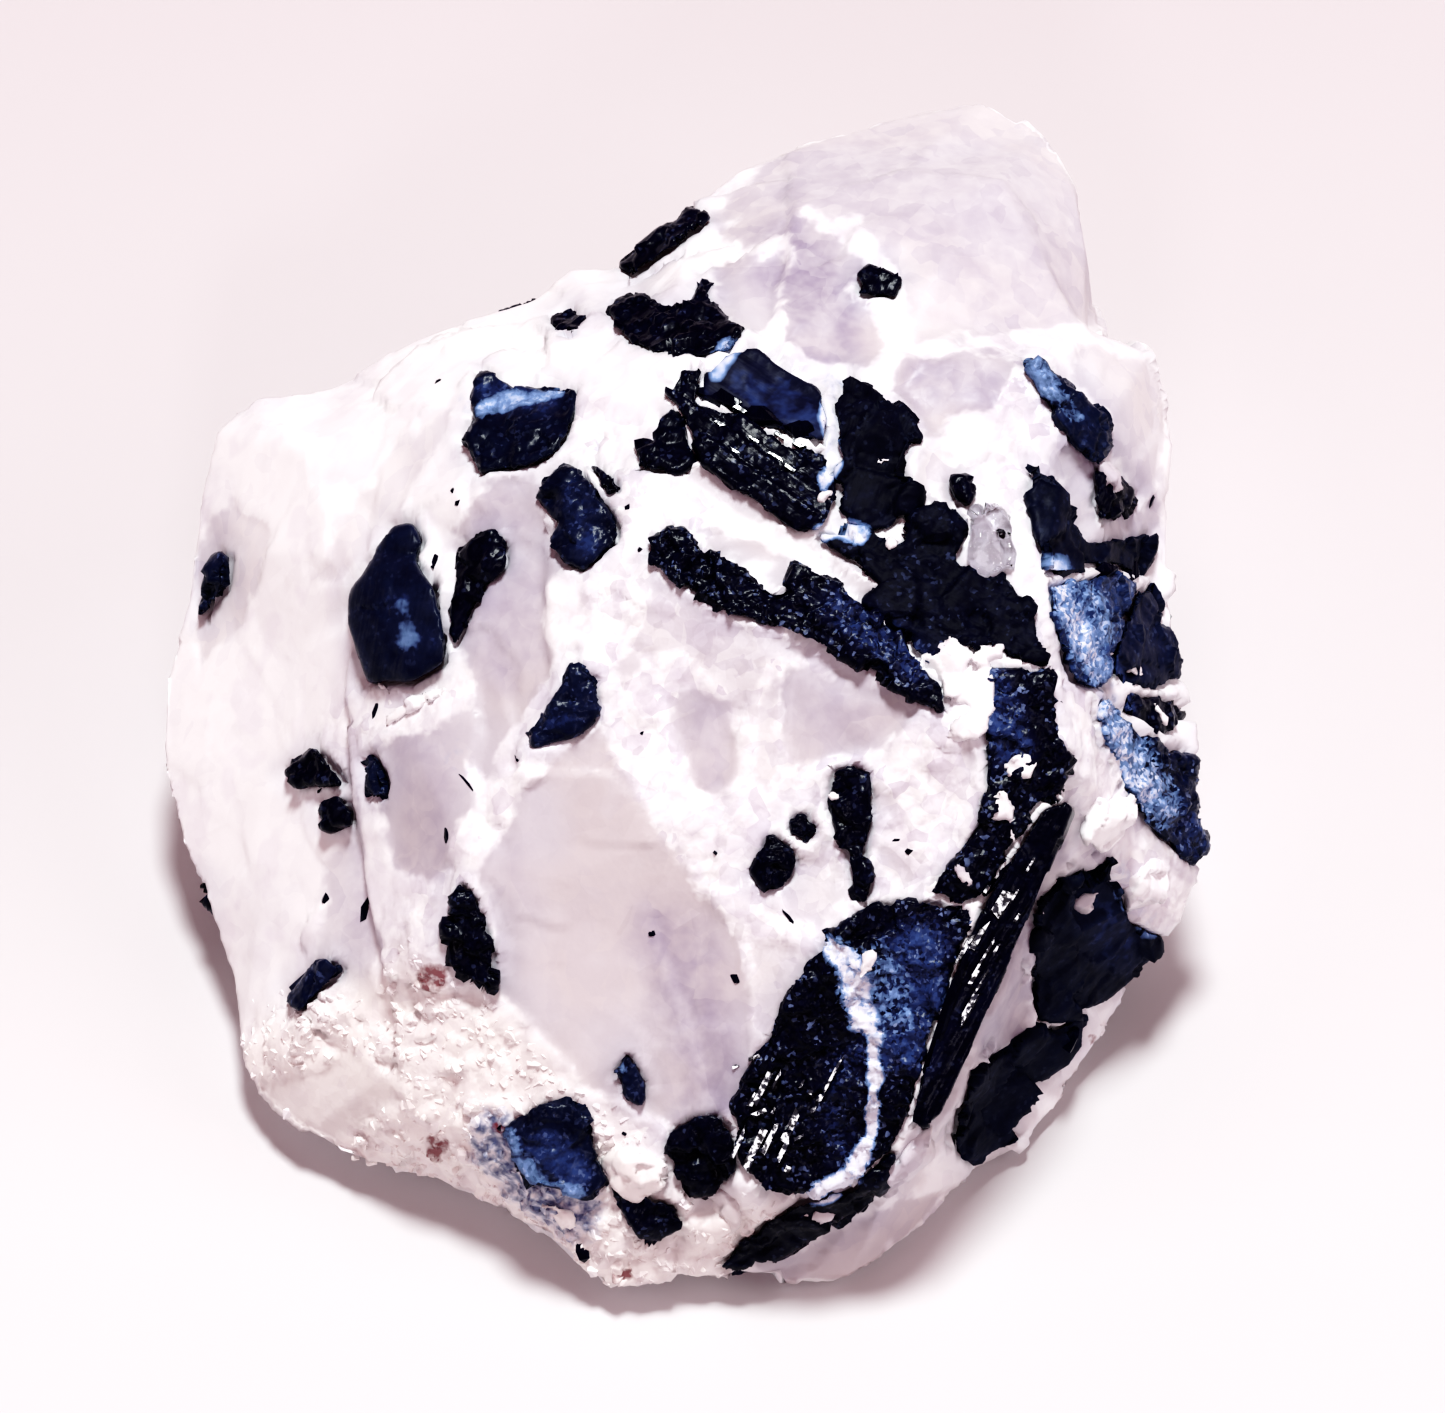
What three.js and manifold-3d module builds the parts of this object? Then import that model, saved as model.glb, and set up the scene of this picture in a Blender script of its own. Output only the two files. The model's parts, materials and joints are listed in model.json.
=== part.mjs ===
// Tourmalinated quartz: a broken lump of massive quartz with black and blue tourmaline crystals
// grown through it, lying on its flat broken base.
// Millimetres, +Z up, +Y away from the viewer, origin at the middle of the footprint.
import * as THREE from 'three';
import { ConvexHull } from 'three/addons/math/ConvexHull.js';
import { mergeVertices } from 'three/addons/utils/BufferGeometryUtils.js';
import Module from 'manifold-3d';

const wasm = await Module();
wasm.setup();

// Driving dimensions
const VIEW_ELEVATION = THREE.MathUtils.degToRad(55);
const JOINT_GAP = 0.3;
const PROUD = 0.35;
const BAR_PROUD = 0.7;
const CRYSTAL_DEPTH = 3.5;
const SLAB_DEPTH = 5;
const CHIP_DEPTH = 2;
const FLOOR_CLEARANCE = 1.2;
const REACH = 60;
const LONGEST_MITER = 1;

// Heart of the lump: every point of the outside is in plain sight of it.
const HEART = new THREE.Vector3(0, -7, 11);
const UP = new THREE.Vector3(0, 0, 1);

// Colours and surface of the two minerals
const QUARTZ = { color: 0xe9e2ea, roughness: 0.45, metalness: 0 };
const BLACK = { color: 0x131a3a, roughness: 0.35, metalness: 0 };
const BLUE = { color: 0x2c4a86, roughness: 0.45, metalness: 0 };
const FROSTED = { color: 0x8fb0dc, roughness: 0.6, metalness: 0 };
const CLEAR = { color: 0xf4f1f6, roughness: 0.1, metalness: 0 };

// The visible outside, drawn square to the line of sight: u to the right, v up, w to the viewer.
const VISIBLE = {
  farRim: [
    [12.2, 24.1, 5], [14.4, 22.8, 6], [15.9, 20.8, 8], [16.4, 18, 10], [16.2, 14.8, 12],
    [9.2, 23.7, 5.5], [7, 23, 6.5], [4.8, 22.3, 7.5], [2.4, 21.4, 8.5], [1.3, 19.8, 10],
  ],
  farLobe: [
    [8.8, 21.2, 11], [12.8, 20.8, 12], [14.4, 18, 13.5], [10.8, 17.6, 15.5], [7.2, 18.8, 14.5],
    [4, 19.6, 13], [2.4, 17.2, 15], [6, 15.2, 17.5], [9.6, 14.8, 17.5], [12.8, 15, 16],
  ],
  rightLobe: [
    [8.8, 13.2, 19.5], [11.2, 14.2, 19], [13.6, 13.2, 19.2], [16.4, 14.2, 15], [18.6, 13.8, 12.5],
    [19.3, 10.8, 12], [19.5, 7.4, 13], [17.2, 11.2, 17.5], [15.2, 10.4, 19.5], [11.2, 10.4, 21],
  ],
  leftRim: [
    [0.4, 19.7, 10], [-2.2, 17.5, 10], [-4.4, 17.3, 9.5], [-6, 16, 9.5], [-9.2, 14.8, 9],
    [-11.2, 13.9, 8.5], [-14, 12.6, 7.5], [-17.2, 12.2, 7], [-18.7, 10.8, 7], [-19.4, 8, 7.5],
    [-19.9, 4, 8], [-20.8, 0.8, 8], [-21, -2.4, 8.5], [-20, -5.6, 9.5], [-18.8, -8.4, 10.5],
  ],
  leftShoulder: [
    [-3.2, 15.2, 15], [0, 16.4, 15.5], [2.4, 14.4, 19], [-0.4, 13.2, 19.5], [-4.8, 14, 16],
    [-8.4, 12.4, 16], [-15.2, 10, 12], [-12, 11.2, 13], [-10.4, 8, 17], [-13.2, 5.6, 16.5],
    [-16.8, 6, 12], [-16, 2, 13], [-13.6, 0, 16.5], [-17.2, -3.2, 12.5], [-14.4, -4, 16],
    [-12.4, -6, 18], [-16.8, -8, 13.5], [-14, -10, 17], [-15.2, -13.2, 17],
  ],
  lowRim: [
    [-17.9, -11.4, 11.5], [-17.6, -14, 13], [-16.7, -16, 14], [-15, -17.3, 14.8],
    [-12.8, -18.6, 15.3], [-9.6, -19.3, 15.8], [-6.8, -20.9, 17], [-5, -21.6, 17.3],
    [-3.6, -23.1, 18.2], [-2.4, -23.5, 18.4], [0.4, -23.1, 18.2], [4, -23.2, 17.5],
    [6.8, -23.2, 17], [9, -21.6, 16], [11.4, -19, 14.5], [14, -17.8, 13.5], [16, -15.2, 12],
    [17.3, -12.8, 11.5],
  ],
  rightRim: [
    [19.2, -10, 12.5], [20.4, -7.6, 13], [21, -5.6, 13.5], [20.6, -2.6, 14], [20.2, 0, 14],
    [19.8, 2.8, 14], [18.8, 5.6, 14],
  ],
  veinRidge: [
    [-1.6, 8.8, 22.5], [-2.4, 4, 23.5], [-4.4, 0.4, 23.5], [-6.4, -2.4, 23], [-8.4, -6.4, 22.5],
    [-10, -10, 21.5], [-8, 8, 19.5], [-8.4, 4, 20.5], [-11.2, 2, 18.5], [-10.4, -2.4, 20.5],
  ],
  frontPane: [
    [-4.8, -2.4, 23], [-6.4, -8, 22.5], [-6, -12, 22], [-3.2, -15.2, 21.5], [0.8, -17.2, 21.5],
    [-1.2, -10, 22.6], [2.4, -14, 22.6], [3.2, -9.2, 23.5], [0.8, -4.8, 24],
  ],
  brow: [
    [-0.8, 4, 24], [3.2, 2.4, 24.5], [0.8, -0.8, 23.8], [6, 0, 24.3], [10, -0.4, 24.8],
    [8.8, -4, 24.2], [12, -2.4, 25], [11.2, -6.4, 24.6], [5.6, -6, 24], [7.2, -10.4, 24.2],
    [4.4, -11.2, 23.8],
  ],
  slabEdge: [
    [14.8, 0.8, 24.5], [15.6, -2.4, 24], [14, -7.2, 24], [12, -12, 23.5], [10, -16.8, 22.5],
    [8, -18.8, 21.5], [2.4, -19.6, 21.5], [2.6, -16, 22.3],
  ],
  foot: [
    [2.4, -20.6, 20], [8, -20, 19], [4.8, -22, 18.2], [-2.4, -21.2, 20], [-5.6, -19.2, 20.5],
    [-9.2, -16.8, 19.5], [-12, -15.2, 18.5], [-9.6, -12.8, 20.5], [-13.2, -12.4, 18],
  ],
  rightFlank: [
    [12.8, 6.4, 23], [10.4, 8, 22.5], [14.4, 5.6, 23], [16.8, 5.6, 19], [16, 2, 21.5],
    [18, 2, 17.5], [17.6, -1.6, 18.5], [16.8, -4, 20.5], [18.8, -4, 17], [14.8, -6, 21],
    [17.6, -6.8, 17.5], [19.2, -7.6, 15], [14.4, -10, 17.5], [16.4, -11.2, 14.5],
    [12.8, -14, 16.5], [10.8, -18, 16.5], [13.6, -15.6, 14],
  ],
  topGroup: [
    [2.8, 10.8, 21], [6, 8.8, 22.3], [8, 10.8, 22], [0.8, 9.2, 22], [4.8, 6.4, 23],
    [0.8, 6.4, 23.2], [7.6, 4.8, 23.8],
  ],
};

// The outside that faces away, and the flat base at height 0, before the lump is centred.
const HIDDEN = [
  [12, 19, 12], [4, 17, 11], [15.5, 14, 10], [14, 17, 5], [6, 18, 4], [-3, 13, 9], [-10, 11, 8],
  [-3, 15, 3], [-16, 8, 6], [-18.5, 1, 5], [-11, 12, 2], [-17, 3, 1.5], [-19, -7, 2.5],
  [-16, -15, 1], [18, 4, 8], [17, 8, 13], [19, -4, 5], [18, -10, 3], [16.5, 3, 2], [17, 10, 4],
  [17.5, 2, 8],
];
const BASE = [
  [10, 15], [14, 8], [15, 0], [15.5, -8], [14.5, -16], [10, -22], [4, -26.5], [-3, -25],
  [-9, -20], [-14, -14], [-16, -6], [-14, 3], [-9, 9], [0, 12.5],
];

// Outlines of the crystals where they meet the outside, in the same u and v.
const CRYSTALS = [
  {
    name: 'long_bar', look: BLACK, proud: BAR_PROUD,
    outline: [
      [-1.2, 6.4], [-0.3, 6.8], [0.4, 6.6], [1, 5.9], [3.1, 4.7], [4, 4.2], [4.6, 5.4],
      [6.3, 4.7], [8.2, 2.9], [10.2, 0.4], [10.4, -0.4], [9.2, 0.2], [7, 1.6], [4.6, 2.8],
      [2.1, 3.5], [-0.1, 4.8], [-1.2, 5.4],
    ],
  },
  {
    name: 'edge_bar', look: BLACK, proud: BAR_PROUD,
    outline: [
      [15.3, -4.1], [15.7, -4.5], [14.4, -7.4], [12.2, -12.5], [10.4, -16.5], [9.8, -17],
      [9.2, -16.8], [10.2, -13.6], [11.2, -10.6], [12.2, -8], [13.5, -5.9], [14.6, -4.4],
    ],
  },
  {
    name: 'slab_upper', look: BLACK, depth: SLAB_DEPTH,
    outline: [
      [12.4, 1.1], [14.9, 1.1], [15, -1.6], [15.6, -2.3], [15.2, -3.7], [14.2, -4.2],
      [13, -6], [11.9, -7.9], [10.9, -8], [10, -7.6], [11.1, -6.4], [11.9, -5.1], [12.3, -3.6],
      [12, -0.8],
    ],
  },
  {
    name: 'slab_lower', look: BLACK, depth: SLAB_DEPTH,
    outline: [
      [7.5, -8.2], [10, -8.1], [11.5, -8.6], [10.8, -10.6], [9.8, -13.6], [8.9, -16.8],
      [8.6, -17.6], [7.6, -18.6],
      [6.8, -19.4], [4.8, -19.8], [3.4, -19.5], [2.5, -18.5], [2.1, -16], [3.8, -13.2],
      [4.4, -11.4], [5.3, -10.1], [6.8, -9],
    ],
  },
  {
    name: 'dark_mass', look: BLACK, depth: SLAB_DEPTH,
    outline: [
      [5.6, 6.5], [7.3, 6.6], [8.2, 5.9], [8.9, 6.2], [9.3, 7.5], [11, 7.7], [11.3, 7.2],
      [11.2, 5.5], [12.1, 4.8], [13, 5], [14, 3.5], [14.6, 1.5], [13.1, 1.9], [12.3, 2.4],
      [11.8, 2], [11, 2.6], [9.8, 1.3], [8, 3.1], [7.5, 3.9], [8.2, 4.6], [7, 5.5],
    ],
  },
  {
    name: 'upper_prism_front', look: BLACK, proud: BAR_PROUD,
    outline: [
      [-0.5, 12.3], [0.2, 13.2], [0.8, 13.2], [0.6, 11.9], [2.5, 11.3], [4.3, 10.2], [5.8, 9.9],
      [6.2, 8], [5.4, 6.9], [4.7, 6.8], [2.2, 8.5], [1, 9.4], [0.1, 11.7],
    ],
  },
  {
    name: 'upper_prism_back', look: BLACK, proud: BAR_PROUD,
    outline: [
      [0.8, 11.9], [1.1, 13.1], [2.2, 13.9], [3.1, 14], [3.8, 13.4], [5.5, 12.3], [5.8, 11.2],
      [5.7, 10.3], [4.4, 10.6], [2.6, 11.6],
    ],
  },
  {
    name: 'upper_stub', look: BLACK,
    outline: [
      [-1.7, 10], [-0.8, 10.2], [-0.9, 11.2], [-0.3, 11.6], [0.1, 11.2], [0.6, 9.6], [0, 9.1],
      [-1.7, 9.3],
    ],
  },
  {
    name: 'upper_block', look: BLACK,
    outline: [
      [6.3, 12.9], [6.8, 13.1], [7.6, 12.7], [9, 11.4], [9.6, 10.5], [9.2, 9.9], [9.1, 7.8],
      [8.4, 7], [7.4, 6.8], [6.4, 7.8], [5.8, 8.4], [6, 9.2], [6.7, 9.5], [6.2, 10.4],
    ],
  },
  {
    name: 'fork_arm', look: BLACK,
    outline: [
      [6, -3.6], [6.1, -2.9], [6.8, -2.6], [7.4, -2.9], [7.7, -4.6], [7.3, -6.4], [7.6, -7.4],
      [7.3, -8], [7, -7.8], [6.6, -6], [5.9, -4.3],
    ],
  },
  {
    name: 'right_wedge', look: BLUE,
    outline: [
      [13.9, 9.5], [14.8, 9.1], [15.6, 8.2], [15.5, 7.6], [16.4, 6.4], [18.7, 6.5], [18.8, 6.2],
      [18.3, 5.1], [17.2, 5.4], [14.7, 5], [14.3, 6.2],
    ],
  },
  {
    name: 'right_frosted', look: FROSTED,
    outline: [
      [14.8, 4.5], [17.3, 5], [18.2, 4.6], [17.2, 2], [17.1, 1], [16.6, 0.4], [15.8, 0.8],
      [15, 3.2],
    ],
  },
  {
    name: 'right_tooth', look: BLUE,
    outline: [
      [18.4, 4.3], [18.9, 4.6], [19.3, 3.8], [19, 3], [19.7, 2.7], [20.1, 1.8], [20, 1],
      [19.4, 0.5], [17.4, 1], [17.5, 2],
    ],
  },
  {
    name: 'right_peg', look: BLACK,
    outline: [[17.9, 0.1], [19.8, -0.1], [20.2, -0.6], [19.9, -1.1], [19.2, -1.3], [17.9, -0.5]],
  },
  {
    name: 'right_blue_shard', look: BLUE,
    outline: [
      [16.8, -0.1], [17.5, -0.3], [18.2, -1.3], [20.7, -2.6], [20.6, -3.6], [21.1, -6],
      [20.6, -6.5], [19.2, -5.4], [18, -3.6], [17, -1.2],
    ],
  },
  {
    name: 'flank_block', look: BLUE,
    outline: [
      [14.4, -8.2], [15.2, -7.4], [17.2, -6.6], [17.5, -7.3], [18, -9], [19.3, -9.6],
      [19, -10.6], [17.2, -12], [15.4, -12.7], [14.4, -12.8], [14.2, -11.2],
    ],
  },
  {
    name: 'flank_foot', look: BLUE,
    outline: [
      [14.2, -13.3], [15.2, -13.2], [16.2, -12.6], [16.1, -13.8], [14.2, -15.6], [13.2, -16.8],
      [13.9, -17.8], [11.8, -18.7], [11.1, -18], [11.5, -16], [12, -14.8],
    ],
  },
  {
    name: 'base_bar', look: BLACK,
    outline: [
      [1.7, -22.6], [3.4, -21], [4.8, -20.2], [7.2, -19.4], [8.5, -18.1], [8.3, -19.2],
      [6.6, -20.7], [4.4, -22.1], [2.2, -22.9],
    ],
  },
  {
    name: 'lower_cluster', look: BLACK,
    outline: [
      [-0.5, -18], [-0.3, -17.2], [0.4, -16.8], [1.4, -16.6], [1.9, -17], [2.2, -18.8],
      [1.2, -19.8], [0.2, -19.8],
    ],
  },
  {
    name: 'blue_cluster', look: BLUE,
    outline: [
      [-7, -17.4], [-6.4, -16.6], [-5.4, -16.2], [-4.2, -16.1], [-3.5, -17.4], [-2.9, -19.3],
      [-3.6, -19.8], [-6, -19.4],
    ],
  },
  {
    name: 'low_bar', look: BLACK,
    outline: [
      [-2.7, -19.5], [-2.1, -19.6], [-0.2, -20.3], [0.1, -21], [-0.8, -21.7], [-1.6, -21.4],
      [-2.2, -20.6],
    ],
  },
  {
    name: 'left_blob', look: BLUE,
    outline: [
      [-11.5, 7], [-10.7, 7.1], [-10.3, 6.3], [-10.6, 5.5], [-9.8, 4.5], [-9.4, 2.2],
      [-9.4, 1.5], [-10.7, 0.7], [-12.5, 0.7], [-13.3, 3.4], [-13.2, 4.4], [-12.6, 5.1],
    ],
  },
  {
    name: 'left_club', look: BLACK,
    outline: [
      [-8.9, 5.8], [-8.4, 6.4], [-7.5, 6.6], [-6.9, 6.1], [-7, 5.4], [-7.8, 4.7], [-8.6, 2.9],
      [-9, 2.2], [-9.2, 2.8], [-8.9, 4.9],
    ],
  },
  {
    name: 'middle_cluster', look: BLUE,
    outline: [
      [-5.4, 8.8], [-4.6, 9.4], [-3.9, 9], [-2.5, 7], [-2.5, 6.4], [-3.8, 5.2], [-4.6, 5.6],
      [-5.2, 6.3], [-4.8, 7.2], [-5.6, 8.1],
    ],
  },
  {
    name: 'middle_chip', look: BLACK, depth: CHIP_DEPTH,
    outline: [[-3.5, 9.4], [-2.8, 9], [-2.4, 8.4], [-2.9, 8.2]],
  },
  {
    name: 'top_left_cluster', look: BLUE,
    outline: [
      [-8, 13.2], [-6.6, 12.5], [-4.2, 12.3], [-4.5, 10.7], [-5.1, 9.8], [-6, 9.4], [-8, 9.1],
      [-8.6, 10.4], [-8.1, 11.2], [-8.3, 12],
    ],
  },
  {
    name: 'vein_wedge', look: BLUE,
    outline: [
      [-4.3, 1.3], [-3.3, 0.8], [-3.4, -0.8], [-4.1, -1.4], [-5.9, -1.8], [-5.1, -0.3],
    ],
  },
  {
    name: 'left_arrow', look: BLACK, depth: CHIP_DEPTH,
    outline: [[-15.9, -2.9], [-14.7, -2], [-13.9, -2.8], [-13.6, -3.3], [-15.4, -3.3]],
  },
  {
    name: 'left_bead', look: BLACK, depth: CHIP_DEPTH,
    outline: [[-14.4, -4.3], [-13.7, -4], [-13.2, -4.5], [-13.3, -4.9], [-14, -4.9]],
  },
  {
    name: 'left_seed', look: BLUE, depth: CHIP_DEPTH,
    outline: [[-12.5, -2.4], [-12.2, -2.2], [-11.7, -3.3], [-11.8, -3.9], [-12.4, -3.8]],
  },
  {
    name: 'left_rod', look: BLUE, depth: CHIP_DEPTH,
    outline: [[-15.8, -12.1], [-14.7, -10.6], [-14.2, -10.4], [-13.6, -10.8], [-15.3, -12.4]],
  },
  {
    name: 'far_left_sliver', look: BLUE, depth: CHIP_DEPTH,
    outline: [[-18.7, 5.9], [-18.3, 5.8], [-18.5, 4.4], [-19.4, 3.4], [-19.2, 4.8]],
  },
  {
    name: 'pane_leaf', look: BLACK,
    outline: [
      [-8.7, -7.4], [-8.2, -8], [-7.4, -10.2], [-7.5, -11.5], [-7.9, -11.6], [-9.1, -10.6],
      [-9.2, -9.1],
    ],
  },
  {
    name: 'pane_chip', look: BLUE, depth: CHIP_DEPTH,
    outline: [[-2.5, -14.9], [-2.1, -14.2], [-1.4, -15.4], [-1.6, -16], [-2, -15.8]],
  },
  {
    name: 'centre_gem', look: BLACK,
    outline: [[3.6, -5.4], [4.2, -5.8], [4.6, -6.3], [4.4, -7.1], [3.5, -7.5], [2.9, -6.9]],
  },
  {
    name: 'centre_chip', look: BLACK, depth: CHIP_DEPTH,
    outline: [[4.5, -4.7], [5, -4.6], [5.4, -5.2], [5, -5.6], [4.4, -5.2]],
  },
  {
    name: 'brow_blade', look: BLACK, depth: CHIP_DEPTH,
    outline: [[10.9, 8.9], [11.5, 8.9], [11.7, 8.2], [11.4, 7.9], [11, 8.1]],
  },
  {
    name: 'top_chip', look: BLACK,
    outline: [[7.3, 17], [7.6, 17.5], [8.7, 16.8], [8.6, 16.2], [7.1, 16.3]],
  },
  {
    name: 'rim_bar', look: BLACK,
    outline: [
      [-2.4, 17.5], [-0.9, 18.8], [0, 19.3], [0.2, 19.8], [0.8, 19.7], [1, 19.3], [-0.4, 18.3],
      [-2, 17.2],
    ],
  },
  {
    name: 'peak_cluster', look: BLACK,
    outline: [
      [-2.9, 15.6], [-2.5, 16], [-1.4, 16.1], [-0.7, 15.6], [0.2, 15.7], [0.9, 16.7],
      [1.5, 15.6], [2.4, 14.8], [2, 14.1], [0.9, 13.8], [-1, 14], [-2, 14.5],
    ],
  },
  {
    name: 'rim_bead', look: BLACK, depth: CHIP_DEPTH,
    outline: [[-5.1, 15.3], [-4.4, 15.7], [-3.8, 15.3], [-4.2, 14.8], [-4.8, 14.8]],
  },
  {
    name: 'shard', look: FROSTED, proud: BAR_PROUD,
    outline: [
      [13.9, 13.5], [14.4, 13.4], [15.9, 12.3], [17, 11.2], [17.2, 10.1], [16.7, 9.5],
      [15.7, 10.4], [14.7, 11.8],
    ],
  },
  {
    name: 'shard_wedge', look: BLACK,
    outline: [[16.8, 9.2], [17.4, 8.9], [18.2, 8.1], [18, 7.6], [17, 7.2], [16.6, 8]],
  },
  {
    name: 'clear_lens', look: CLEAR,
    outline: [
      [11.9, 7.4], [12.4, 7.4], [13, 6.9], [13.2, 5.9], [12.9, 5.3], [12.1, 5.1], [11.6, 5.6],
      [11.7, 6.8],
    ],
  },
];

// Prisms on the sides and the back. The seat is given by its bearing from the heart, counted from
// +X towards +Y, and by its rise; the prism leans away from that line and is then turned about it.
const SIDE_PRISMS = [
  { name: 'back_prism_a', bearing: 62, rise: -6, radius: 1.9, length: 7, lean: 70, turn: 20 },
  { name: 'back_prism_b', bearing: 84, rise: -14, radius: 1.4, length: 8, lean: 65, turn: 130 },
  { name: 'back_prism_c', bearing: 112, rise: 6, radius: 2.3, length: 6, lean: 30, turn: 60 },
  { name: 'back_prism_d', bearing: 136, rise: -22, radius: 1.2, length: 7, lean: 75, turn: 10 },
  { name: 'back_prism_e', bearing: 163, rise: -20, radius: 1.7, length: 6, lean: 40, turn: 100 },
  { name: 'back_prism_f', bearing: 28, rise: -18, radius: 1.8, length: 7, lean: 68, turn: 75 },
  { name: 'back_prism_g', bearing: 8, rise: -32, radius: 1.3, length: 6, lean: 50, turn: 40 },
  { name: 'left_prism', bearing: 192, rise: -28, radius: 1.1, length: 6, lean: 72, turn: 150 },
];

// From the drawing to the stone as it lies.
function toWorld([u, v, w]) {
  const cosE = Math.cos(VIEW_ELEVATION);
  const sinE = Math.sin(VIEW_ELEVATION);
  return new THREE.Vector3(u, v * sinE - w * cosE, v * cosE + w * sinE);
}
const DRAWING_TO_WORLD = new THREE.Matrix4().makeRotationX(Math.PI / 2 - VIEW_ELEVATION);

// Closed surface through points that can all be seen from the heart.
function starSurface(points) {
  const directions = points.map((point) => point.clone().sub(HEART).normalize());
  const place = new Map(directions.map((direction, i) => [direction, i]));
  const index = [];
  for (const face of new ConvexHull().setFromPoints(directions).faces) {
    let edge = face.edge;
    do {
      index.push(place.get(edge.head().point));
      edge = edge.next;
    } while (edge !== face.edge);
  }
  const geometry = new THREE.BufferGeometry().setFromPoints(points);
  geometry.setIndex(index);
  geometry.computeVertexNormals();
  return geometry;
}

// The same surface, moved outwards along its normals.
function swell(geometry, distance) {
  const swollen = geometry.clone();
  const position = swollen.getAttribute('position');
  const normal = geometry.getAttribute('normal');
  for (let i = 0; i < position.count; i += 1) {
    const point = new THREE.Vector3().fromBufferAttribute(position, i);
    point.addScaledVector(new THREE.Vector3().fromBufferAttribute(normal, i), distance);
    position.setXYZ(i, ...point.toArray());
  }
  return swollen;
}

function toSolid(geometry) {
  const bare = new THREE.BufferGeometry();
  bare.setAttribute('position', geometry.getAttribute('position'));
  bare.setIndex(geometry.getIndex());
  const merged = mergeVertices(bare);
  return new wasm.Manifold(new wasm.Mesh({
    numProp: 3,
    vertProperties: Float32Array.from(merged.getAttribute('position').array),
    triVerts: Uint32Array.from(merged.getIndex().array),
  }));
}

function toGeometry(solid) {
  const mesh = solid.getMesh();
  const geometry = new THREE.BufferGeometry();
  geometry.setAttribute('position', new THREE.BufferAttribute(mesh.vertProperties, 3));
  geometry.setIndex(new THREE.BufferAttribute(mesh.triVerts, 1));
  return geometry;
}

function largestBody(solid) {
  const bodies = solid.decompose();
  return bodies.reduce((best, body) => (body.volume() > best.volume() ? body : best));
}

// Moves every side of an outline outwards by the same distance.
function growOutline(corners, distance) {
  const sideNormal = (a, b) => new THREE.Vector2(b.y - a.y, a.x - b.x).normalize();
  return corners.map((corner, i) => {
    const before = sideNormal(corners.at(i - 1), corner);
    const after = sideNormal(corner, corners[(i + 1) % corners.length]);
    const miter = before.add(after);
    const stretch = (2 * distance) / Math.max(miter.lengthSq(), LONGEST_MITER);
    return corner.clone().addScaledVector(miter, stretch);
  });
}

// A block with the given outline, standing along the line of sight.
function outlineBlock(outline, growth, low) {
  let corners = outline.map(([u, v]) => new THREE.Vector2(u, v));
  if (THREE.ShapeUtils.isClockWise(corners)) corners.reverse();
  if (growth > 0) corners = growOutline(corners, growth);
  const geometry = new THREE.ExtrudeGeometry(new THREE.Shape(corners), {
    depth: REACH,
    bevelEnabled: false,
  });
  geometry.translate(0, 0, low - growth);
  return toSolid(geometry.applyMatrix4(DRAWING_TO_WORLD));
}

// Lowest place of the outside under an outline, measured along the line of sight.
function surfaceUnder(outline) {
  const sight = toWorld([0, 0, 1]);
  const caster = new THREE.Raycaster();
  const found = outline.flatMap(([u, v]) => {
    caster.set(toWorld([u, v, REACH]), sight.clone().negate());
    return caster.intersectObject(blankMesh).slice(0, 1).map((hit) => REACH - hit.distance);
  });
  return Math.min(...found);
}

function faceCrystal({ outline, depth = CRYSTAL_DEPTH }) {
  const low = surfaceUnder(outline) - depth;
  return (growth) => outlineBlock(outline, growth, low);
}

// A six-sided prism seated where a line from the heart meets the outside.
function sidePrism({ bearing, rise, radius, length, lean, turn }) {
  const { degToRad } = THREE.MathUtils;
  const out = new THREE.Vector3(Math.cos(degToRad(rise)), 0, Math.sin(degToRad(rise)));
  out.applyAxisAngle(UP, degToRad(bearing));
  const seat = new THREE.Raycaster(HEART, out).intersectObject(blankMesh)[0].point;
  const side = new THREE.Vector3().crossVectors(UP, out).normalize();
  const axis = out.clone().applyAxisAngle(side, degToRad(lean));
  axis.applyAxisAngle(out, degToRad(turn));
  const upright = new THREE.Quaternion().setFromUnitVectors(new THREE.Vector3(0, 1, 0), axis);
  return (growth) => {
    const wide = radius + growth;
    const geometry = new THREE.CylinderGeometry(wide, wide, length + 2 * growth, 6);
    return toSolid(geometry.applyQuaternion(upright).translate(...seat.toArray()));
  };
}

const points = [
  ...Object.values(VISIBLE).flat().map(toWorld),
  ...HIDDEN.map((point) => new THREE.Vector3(...point)),
  ...BASE.map(([x, y]) => new THREE.Vector3(x, y, 0)),
];
const blank = starSurface(points);
const blankMesh = new THREE.Mesh(blank, new THREE.MeshBasicMaterial({ side: THREE.DoubleSide }));
const aboveFloor = toSolid(
  new THREE.BoxGeometry(2 * REACH, 2 * REACH, REACH)
    .translate(0, 0, FLOOR_CLEARANCE + REACH / 2),
);

// Each crystal keeps what the ones before it leave free, and the quartz keeps the rest.
function growCrystals() {
  let quartz = toSolid(blank);
  let taken = null;
  const grown = [];
  const seeds = [
    ...CRYSTALS.map((crystal) => ({ ...crystal, tool: faceCrystal(crystal) })),
    ...SIDE_PRISMS.map((prism) => ({ ...prism, look: BLACK, tool: sidePrism(prism) })),
  ];
  for (const { name, look, tool, proud = PROUD } of seeds) {
    const room = tool(JOINT_GAP).intersect(aboveFloor);
    let body = tool(0).intersect(toSolid(swell(blank, proud))).intersect(aboveFloor);
    if (taken) body = body.subtract(taken);
    grown.push({ name, look, solid: largestBody(body) });
    taken = taken ? taken.add(room) : room;
    quartz = quartz.subtract(room);
  }
  return [{ name: 'quartz', look: QUARTZ, solid: largestBody(quartz) }, ...grown];
}

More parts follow.
